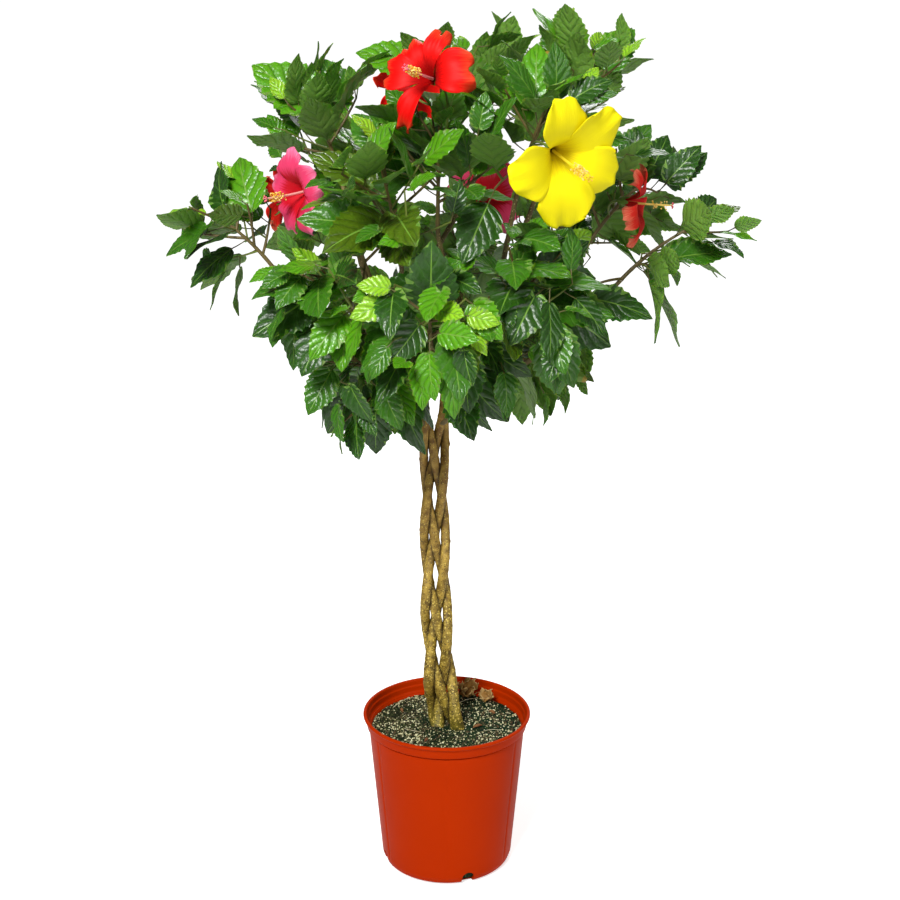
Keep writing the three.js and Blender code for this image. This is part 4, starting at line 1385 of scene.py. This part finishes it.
def spray_shade(leaf):
    """The green of a leaf's spray, drawn at random: lime when young, deep green more often low in the crown
    and bright green more often near its top, partly as painted shade below and painted light above.
    """
    chance = SeededDraw(977 * (leaf["mass"] + 1) + 31 * leaf["spray"])()
    # Painted light in part: sprays low in the crown are drawn deep green more often and those near the top
    # bright green more often, as shaded and lit greens.
    height = np.clip((leaf["node"][2] - 780) / 420, 0, 1)
    if np.linalg.norm(leaf["node"] - YOUNG_TUFT) < 72:
        return 3 if leaf["age"] < 0.9 else 2
    if leaf["age"] < 0.5 and chance < 0.25 + 0.5 * height:
        return 3
    if chance < mix(0.50, 0.12, height):
        return 0
    if chance < mix(0.84, 0.46, height):
        return 1
    return 4 if chance > 0.94 else 2


for tier, names in TIERS.items():
    gathered = Gathered()
    for leaf in [leaf for name in names for leaf in grown[mass_names.index(name)]["leaves"]]:
        chance = SeededDraw(int(leaf["node"][0] * 7 + leaf["node"][1] * 13 + leaf["node"][2] * 29) % 99991)
        blade, faces, kinds, places = BLADES[int(chance() * len(BLADES))]
        side = np.cross(leaf["heading"], leaf["facing"])
        slim = 0.84 + 0.2 * chance()
        reach = np.array([LEAF_WIDTH / 2 * slim, LEAF_LENGTH, LEAF_LENGTH]) * leaf["size"] * BLADE_GROWTH
        points = leaf["base"] + (blade * reach) @ np.array([side, leaf["heading"], leaf["facing"]])
        slot_of = {"blade": spray_shade(leaf), "rib": RIB, "under": UNDER}
        gathered.add(points, faces, [slot_of[kind] for kind in kinds], places)
        sag = (leaf["node"] + leaf["base"]) / 2 - UP * 2 * leaf["size"]
        stalk = Curve(leaf["node"], sag, leaf["base"] + leaf["heading"] * 2)
        gathered.add(*tube(stalk.at(np.linspace(0, 1, 4)), [1.1, 0.85, 0.85, 1.1], 5), STALK)
    leaves = gathered.piece(f"leaves_{tier}", leaf_skins, 75, "blade")
    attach(leaves, "root")
    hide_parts(*[f"foliage_{name}" for name in names])


# ---------------------------------------------------------------- blooms

# Each bloom opens from a green toothed calyx: five broad silky petals that lap over one another like a
# pinwheel, with fine ribs and a ruffled edge, and a long column that bears a brush of pollen-yellow
# anthers and ends in five velvety pads.

PETAL_ACROSS = 16
PETAL_ALONG = 18

# Each sort: colours from throat to edge, a petal's half width, how far it opens and curls back, how
# much its edge is ruffled, and its column's colour.
SORTS = {
    "yellow": {
        "throat": "#d8be00", "petal": "#f4e400", "edge": "#faec00", "eye": 0.06, "curl": 0.12,
        "ruffle": 0.050, "round": 0.36, "column": "#ecd62c", "notch": 0.03,
    },
    "red": {
        "throat": "#b00202", "petal": "#ea0602", "edge": "#f24a26", "eye": 0.20, "curl": 0.34,
        "ruffle": 0.080, "round": 0.16, "column": "#f0a0a0", "notch": 0.15,
    },
    "pink": {
        "throat": "#c4061c", "petal": "#e93f6c", "edge": "#f27ea4", "eye": 0.34, "curl": 0.22,
        "ruffle": 0.060, "round": 0.24, "column": "#f3b0a8", "notch": 0.14,
    },
    "coral": {
        "throat": "#c40a10", "petal": "#f02a20", "edge": "#fa8a68", "eye": 0.30, "curl": 0.34,
        "ruffle": 0.070, "round": 0.18, "column": "#f0d060", "notch": 0.18,
    },
}


def petal_silk(name, sort):
    """Thin silky tissue: its colour runs from the throat to the edge, streaked along its ribs."""
    material, tree, shader, _ = start_material(name, sort["petal"], 0.55)
    shader.inputs["Specular IOR Level"].default_value = 0.2
    grown_at = add_node(tree, "ShaderNodeUVMap", uv_map="petal").outputs["UV"]
    split = add_node(tree, "ShaderNodeSeparateXYZ", {"Vector": grown_at})
    stretched = add_node(
        tree, "ShaderNodeMapping", {"Vector": grown_at, "Scale": (22.0, 2.2, 1.0)}
    )
    ribs = add_node(
        tree, "ShaderNodeTexNoise", {"Vector": stretched.outputs["Vector"], "Scale": 1.6, "Detail": 3.0}
    )
    ragged = add_node(
        tree,
        "ShaderNodeMapRange",
        {"Value": ribs.outputs["Fac"], "From Min": 0.3, "From Max": 0.7, "To Min": -0.10, "To Max": 0.10},
    )
    out = add_node(
        tree, "ShaderNodeMath", {0: split.outputs["Y"], 1: ragged.outputs["Result"]}, operation="ADD"
    )
    eye = add_node(
        tree,
        "ShaderNodeMapRange",
        {"Value": out.outputs["Value"], "From Min": sort["eye"], "From Max": sort["eye"] + 0.22},
    )
    edge = add_node(
        tree, "ShaderNodeMapRange", {"Value": out.outputs["Value"], "From Min": 0.72, "From Max": 1.05}
    )
    inner = add_node(
        tree,
        "ShaderNodeMix",
        {0: eye.outputs["Result"], 6: linear(sort["throat"]), 7: linear(sort["petal"])},
        data_type="RGBA",
    )
    colour = add_node(
        tree,
        "ShaderNodeMix",
        {0: edge.outputs["Result"], 6: inner.outputs[2], 7: linear(sort["edge"])},
        data_type="RGBA",
    )
    tree.links.new(colour.outputs[2], shader.inputs["Base Color"])
    bump = add_node(
        tree, "ShaderNodeBump", {"Height": ribs.outputs["Fac"], "Strength": 0.35, "Distance": 0.001}
    )
    tree.links.new(bump.outputs["Normal"], shader.inputs["Normal"])
    return material


def petal_sheet(throat, way, turn, size, full, sort, draw, crumple=0.0):
    """One petal as a grid of points, from its claw in the throat to its ruffled edge."""
    side, other = across(way)
    out = side * math.cos(turn) + other * math.sin(turn)
    beside = np.cross(way, out)
    phase, second = draw() * 6.28, draw() * 6.28
    points, places = [], []
    for i in range(PETAL_ALONG + 1):
        v = i / PETAL_ALONG
        for j in range(PETAL_ACROSS + 1):
            u = 2 * j / PETAL_ACROSS - 1
            half = full * (0.14 + 0.86 * math.sin(math.pi / 2 * min(1, v / 0.68)))
            lobes = sort["notch"] * v**6 * (math.cos(5 * u + phase) - 1) * 0.5
            far = 0.03 + v * (1 - sort["round"] * abs(u) ** 3 * v * v) + lobes
            opening = 0.42 * (1 - math.exp(-v * 4.2)) - 0.2 * (1 - v) ** 3
            height = opening - sort["curl"] * v**2.4 + 0.045 * u * v
            height += 0.05 * u * u * (1 - v)
            height += sort["ruffle"] * v**3 * math.sin(5.2 * u + phase) * (0.35 + abs(u))
            height += sort["ruffle"] * 0.6 * v**5 * math.sin(11 * u + second)
            wide = u * half * (1 - 0.3 * sort["round"] * v**7)
            spot = np.array([wide, far, height]) * size
            if crumple:
                shift = Vector(spot / 9)
                spot = spot + crumple * np.array(noise.noise_vector(shift + Vector((phase, second, 0))))
            points.append(throat + beside * spot[0] + out * spot[1] + way * spot[2])
            places.append((j / PETAL_ACROSS, v))
    return points, places


def bloom_petals(name, throat, way, petals, size, sort, silk, seed, crumple=0.0):
    """The five petals of a bloom as one thin-walled piece."""
    draw = SeededDraw(seed)
    points, places, faces, columns = [], [], [], PETAL_ACROSS + 1
    for turn, share, full in petals:
        first = len(points)
        turn = math.radians(turn)
        sheet, spots = petal_sheet(throat, way, turn, size * share, full / share, sort, draw, crumple)
        points += sheet
        places += spots
        for i in range(PETAL_ALONG):
            for j in range(PETAL_ACROSS):
                low = first + i * columns + j
                faces.append((low, low + columns, low + columns + 1, low + 1))
    made = make_piece(name, points, faces, [silk], crease=180)
    chart_by_point(made.data, "petal", places)
    wall = made.modifiers.new("tissue", "SOLIDIFY")
    wall.thickness = 0.0005
    wall.offset = 0
    return made


def pollen_brush(name, column_points, column_faces, seed, material, thread):
    """Anthers on short threads all over the outer part of a column."""
    ground = make_piece("column_skin", column_points, column_faces, [])
    made = strew(
        name,
        ground,
        thread,
        seed,
        {"Grains per square metre": 330000.0, "Smallest": 0.75, "Largest": 1.35},
        material,
        upright=True,
    )
    bpy.data.objects.remove(ground)
    return made


def anther_thread():
    """One thread, 4 mm long, with its kidney-shaped anther."""
    gathered = Gathered()
    gathered.add(*tube([(0, 0, 0), (0.2, 0, 1.6), (0.1, 0, 3.2)], [0.2, 0.16, 0.16], 4), 0)
    head = [(0.1, 0, 2.6), (0.1, 0, 3.1), (0.1, 0, 3.9), (0.1, 0, 4.3)]
    gathered.add(*tube(head, [0.3, 0.95, 0.9, 0.25], 6), 0)
    return gathered.piece("anther_thread", [])


def calyx_cup(throat, way, size):
    """The green cup behind the petals, with five pointed lobes."""
    side, other = across(way)
    rings, around = 9, 40
    points = []
    for i in range(rings):
        v = i / (rings - 1)
        for j in range(around):
            turn = 2 * math.pi * j / around
            point_share = abs(math.cos(2.5 * turn))
            reach = v * (0.55 + 0.45 * point_share)
            radius = size * (0.035 + 0.085 * math.sin(min(1, reach * 1.3) * math.pi / 2))
            height = size * (-0.30 + 0.30 * reach)
            points.append(throat + (side * math.cos(turn) + other * math.sin(turn)) * radius + way * height)
    faces = [tuple(range(around))]
    for i in range(rings - 1):
        for j in range(around):
            k = (j + 1) % around
            faces.append((i * around + k, i * around + j, (i + 1) * around + j, (i + 1) * around + k))
    return np.array(points), [tuple(reversed(face)) for face in faces]


calyx_skin = leaf_skin("calyx_green", "#6d8f35", 0.5)
stalk_skin = leaf_skin("flower_stalk", "#6f8034", 0.5)
pollen = grain_material("pollen", "#f7c21a", "#ffe08a", 0.85)
thread = anther_thread()
silks = {name: petal_silk(f"{name}_petal", sort) for name, sort in SORTS.items()}
column_skins = {name: leaf_skin(f"{name}_column", sort["column"], 0.45) for name, sort in SORTS.items()}
pads = {}
for name in SORTS:
    pads[name] = leaf_skin(f"{name}_stigma", "#f4c430" if name == "yellow" else "#f0607a", 0.7)

for number, (name, (mass_name, at, facing, size, kind, shapes)) in enumerate(BLOOMS.items()):
    sort = SORTS[kind]
    throat, way = np.array(at, float), unit(np.array(facing, float))
    side, other = across(way)
    petals = bloom_petals(f"bloom_{name}_petals", throat, way, shapes, size, sort, silks[kind], 500 + number)
    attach(petals, "root")
    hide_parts(f"foliage_{mass_name}")

    centre = Gathered()
    bow = side * size * 0.03 + UP * size * 0.03
    column_foot, column_end = throat - way * size * 0.12, throat + way * size * 0.97
    column_line = Curve(column_foot, throat + way * size * 0.4 - bow, column_end)
    shares = np.linspace(0, 1, 16)
    column_radii = mix(1.9, 1.1, shares)
    centre.add(*tube(column_line.at(shares), column_radii, 10), 0)
    for k in range(5):
        turn = 2 * math.pi * k / 5
        spread = side * math.cos(turn) + other * math.sin(turn)
        tip = column_line.at(1)[0]
        branch = Curve(tip - way, tip + way * 3, tip + way * 4 + spread * 3.4)
        centre.add(*tube(branch.at(np.linspace(0, 1, 5)), [0.45] * 5, 5), 0)
        pad = [tip + way * height + spread * 3.4 for height in (3.1, 3.6, 4.5, 5.2)]
        centre.add(*tube(pad, [0.5, 1.35, 1.3, 0.4], 8), 1)
    column = centre.piece(f"bloom_{name}_column", [column_skins[kind], pads[kind]])
    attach(column, "root")

    outer = np.linspace(0.60, 0.94, 12)
    brush_points, brush_faces = tube(column_line.at(outer), mix(1.9, 1.1, outer), 10)
    brush = pollen_brush(
        f"bloom_{name}_anthers", brush_points, brush_faces[1:-1], 700 + number, pollen, thread
    )

    green = Gathered()
    green.add(*calyx_cup(throat - way * size * 0.02, way, size), 0)
    back = throat - way * size * 0.31
    for k in range(7):
        turn = 2 * math.pi * (k + 0.4) / 7
        spread = side * math.cos(turn) + other * math.sin(turn)
        bract = Curve(back, back + spread * 6 + way * 1, back + spread * 8 + way * 8)
        green.add(*tube(bract.at(np.linspace(0, 1, 5)), [0.9, 1.0, 0.8, 0.5, 0.15], 5), 0)
    start = grown[mass_names.index(mass_name)]["stem"].at(0.4)[0]
    stalk_line = Curve(start, back - way * np.linalg.norm(start - back) * 0.4, back + way)
    green.add(*tube(stalk_line.at(np.linspace(0, 1, 14)), mix(1.3, 2.2, np.linspace(0, 1, 14) ** 5), 8), 1)
    calyx = green.piece(f"bloom_{name}_calyx", [calyx_skin, stalk_skin])
    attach(calyx, "root")
bpy.data.objects.remove(thread)


# ---------------------------------------------------------------- flower buds

# Buds of the next blooms stand on short stalks at shoot tips: a green calyx with the rolled petals
# just showing at its point.

BUD_LENGTH = 26
BUD_RADIUS = 6.5


def bud_shape(foot, way, length, turn):
    """A plump spindle with five soft ribs, twisted towards its point."""
    side, other = across(way)
    points, rings, around = [], 12, 15
    for i in range(rings):
        v = i / (rings - 1)
        radius = BUD_RADIUS * (0.18 + 0.9 * math.sin(math.pi * min(1, v * 0.93) ** 0.8) ** 0.8)
        for j in range(around):
            angle = 2 * math.pi * j / around + turn + 0.9 * v
            ribbed = radius * (1 + 0.10 * math.cos(5 * 2 * math.pi * j / around))
            reach = side * math.cos(angle) + other * math.sin(angle)
            points.append(foot + way * length * v + reach * ribbed)
    faces = [tuple(range(around - 1, -1, -1))]
    for i in range(rings - 1):
        for j in range(around):
            k = (j + 1) % around
            faces.append((i * around + k, i * around + j, (i + 1) * around + j, (i + 1) * around + k))
    faces.append(tuple(range((rings - 1) * around, rings * around)))
    return np.array(points), faces


buds = Gathered()
for mass, growth in enumerate(grown):
    draw = SeededDraw(4000 + mass)
    for shoot in growth["shoots"][:2]:
        tip, way = shoot.at(1)[0], shoot.way(1)
        way = unit(way + 0.5 * unit(tip - CROWN_HEART))
        foot = tip + way * 14
        head = foot + way * BUD_LENGTH
        if draw() < 0.4 or not in_own_cell(mass, head)[0] or in_bloom(head)[0]:
            continue
        if egg_share(mass, head)[0] > 1.0:
            continue
        length = BUD_LENGTH * (0.7 + 0.3 * draw())
        stalk = tube(Curve(tip, tip + way * 8, foot + way).at(np.linspace(0, 1, 5)), [1.0] * 5, 6)
        buds.add(*stalk, 1)
        shape, faces = bud_shape(foot, way, length, draw() * 6)
        pointed = [0 if i < 1 + 15 * 9 else 2 for i in range(len(faces))]
        buds.add(shape, faces, pointed)
bud_piece = buds.piece("flower_buds", [calyx_skin, stalk_skin, leaf_skin("bud_point", "#a08a2c", 0.5)])
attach(bud_piece, "root")


# ---------------------------------------------------------------- what lies on the soil

# Two blooms that fell and dried to tan paper lie at the back of the soil, with a dead leaf curl and
# pale root fibres near them.

dry = {
    "throat": "#6e4a20", "petal": "#a67d42", "edge": "#d3b478", "eye": 0.2, "curl": -0.95,
    "ruffle": 0.20, "round": 0.2, "column": "#b8935a", "notch": 0.3,
}
dry_silk = petal_silk("dried_petal", dry)
for number, (x, y, size, lean) in enumerate([(26, 95, 17, 0.5), (66, 76, 12, -0.4)]):
    fallen = bloom_petals(
        f"fallen_bloom_{number + 1}",
        np.array([x, y, 224.0]),
        unit(np.array([lean, -0.5, 0.9])),
        [(15, 1, 0.6), (84, 0.8, 0.7), (160, 1.1, 0.6), (228, 0.7, 0.6), (300, 0.9, 0.7)],
        size,
        dry,
        dry_silk,
        900 + number,
        crumple=5.0,
    )
    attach(fallen, "root")

litter = Gathered()
for start, bend, end in [
    ((18, 66, 221), (34, 78, 224), (46, 84, 221)),
    ((-84, 52, 220), (-66, 80, 227), (-46, 84, 221)),
    ((52, -30, 219), (66, -22, 222), (82, -24, 219)),
    ((-64, -20, 220), (-50, -34, 223), (-34, -32, 219)),
]:
    fibre = Curve(start, bend, end)
    litter.add(*tube(fibre.at(np.linspace(0, 1, 12)), [0.45] * 12, 5), 0)
for x, y, turn, length in [(47, -14, 0.3, 15), (-70, 40, 1.9, 10), (70, 34, 2.6, 11), (-30, -60, 0.9, 9)]:
    flat_way = np.array([math.cos(turn), math.sin(turn), 0.12])
    heart = np.array([x, y, 220.5])
    curl = Curve(heart - flat_way * length / 2, heart + UP * 4, heart + flat_way * length / 2)
    litter.add(*tube(curl.at(np.linspace(0, 1, 7)), [0.5, 1.8, 2.4, 2.6, 2.2, 1.5, 0.4], 6), 1)
litter_materials = [
    grain_material("root_fibre", "#d9d2b4", "#b7aa80", 0.8),
    grain_material("dead_leaf", "#6b3f22", "#8c5f34", 0.8),
]
soil_litter = litter.piece("soil_litter", litter_materials)
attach(soil_litter, "root")


# ---------------------------------------------------------------- floor, light and camera

# A pale seamless floor, one broad soft light from the upper left and a weaker one from the right, as
# in a white studio.

FLOOR_REACH = 16000
floor_points, floor_faces = [(0, 0, -0.2)], []
for radius in (300, 900, 2500, 7000, FLOOR_REACH):
    turns = np.linspace(0, 2 * math.pi, 64, False)
    floor_points += [(radius * math.cos(turn), radius * math.sin(turn), -0.2) for turn in turns]
floor_faces += [(0, 1 + j, 1 + (j + 1) % 64) for j in range(64)]
for i in range(4):
    low, high = 1 + 64 * i, 1 + 64 * (i + 1)
    floor_faces += [(low + j, high + j, high + (j + 1) % 64, low + (j + 1) % 64) for j in range(64)]
floor_paint, floor_tree, floor_shader, floor_place = start_material("studio_floor", "#f4f4f2", 0.8)
from_pot = add_node(
    floor_tree, "ShaderNodeVectorMath", {0: floor_place}, operation="LENGTH"
).outputs["Value"]
seen = add_node(floor_tree, "ShaderNodeLightPath").outputs["Is Camera Ray"]
brighter = add_node(
    floor_tree,
    "ShaderNodeMapRange",
    {"Value": from_pot, "From Min": 0.15, "From Max": 1.2, "To Min": 0.62, "To Max": 1.0},
)
lit = add_node(
    floor_tree, "ShaderNodeMath", {0: seen, 1: brighter.outputs["Result"]}, operation="MULTIPLY"
)
floor_shader.inputs["Emission Color"].default_value = (1, 1, 1, 1)
floor_tree.links.new(lit.outputs["Value"], floor_shader.inputs["Emission Strength"])
floor = make_piece("floor", floor_points, floor_faces, [floor_paint])

world = bpy.data.worlds.new("studio")
bpy.context.scene.world = world
world.use_nodes = True
sky = world.node_tree
seen = add_node(sky, "ShaderNodeLightPath").outputs["Is Camera Ray"]
glow = add_node(
    sky, "ShaderNodeMapRange", {"Value": seen, "To Min": 0.12, "To Max": 1.05}
).outputs["Result"]
sky.links.new(glow, sky.nodes["Background"].inputs["Strength"])
sky.nodes["Background"].inputs["Color"].default_value = (1, 1, 1, 1)


def soft_light(name, place, aim, size, watts):
    """A square soft box that points at a spot."""
    light = bpy.data.lights.new(name, "AREA")
    light.size = size
    light.energy = watts
    lamp = bpy.data.objects.new(name, light)
    lamp.location = place
    lamp.rotation_mode = "QUATERNION"
    lamp.rotation_quaternion = (Vector(aim) - Vector(place)).to_track_quat("-Z", "Y")
    bpy.context.scene.collection.objects.link(lamp)


soft_light("key_soft_box", (-1.0, -2.5, 2.9), (0, 0, 0.8), 1.0, 130)
soft_light("fill_soft_box", (2.3, -1.6, 1.7), (0, 0, 0.8), 1.5, 20)
soft_light("rear_soft_box", (0.6, 2.4, 2.6), (0, 0, 0.9), 1.4, 36)

CAMERA_PLACE = (0.005, -2.0, 1.203)
CAMERA_PITCH = 15.4  # degrees below the horizon
LENS = 57.3
camera_data = bpy.data.cameras.new("camera")
camera_data.lens = LENS
camera_data.sensor_width = 36
camera = bpy.data.objects.new("camera", camera_data)
camera.location = CAMERA_PLACE
camera.rotation_euler = (math.radians(90 - CAMERA_PITCH), 0, 0)
bpy.context.scene.collection.objects.link(camera)
bpy.context.scene.camera = camera
bpy.context.scene.view_settings.view_transform = "Standard"
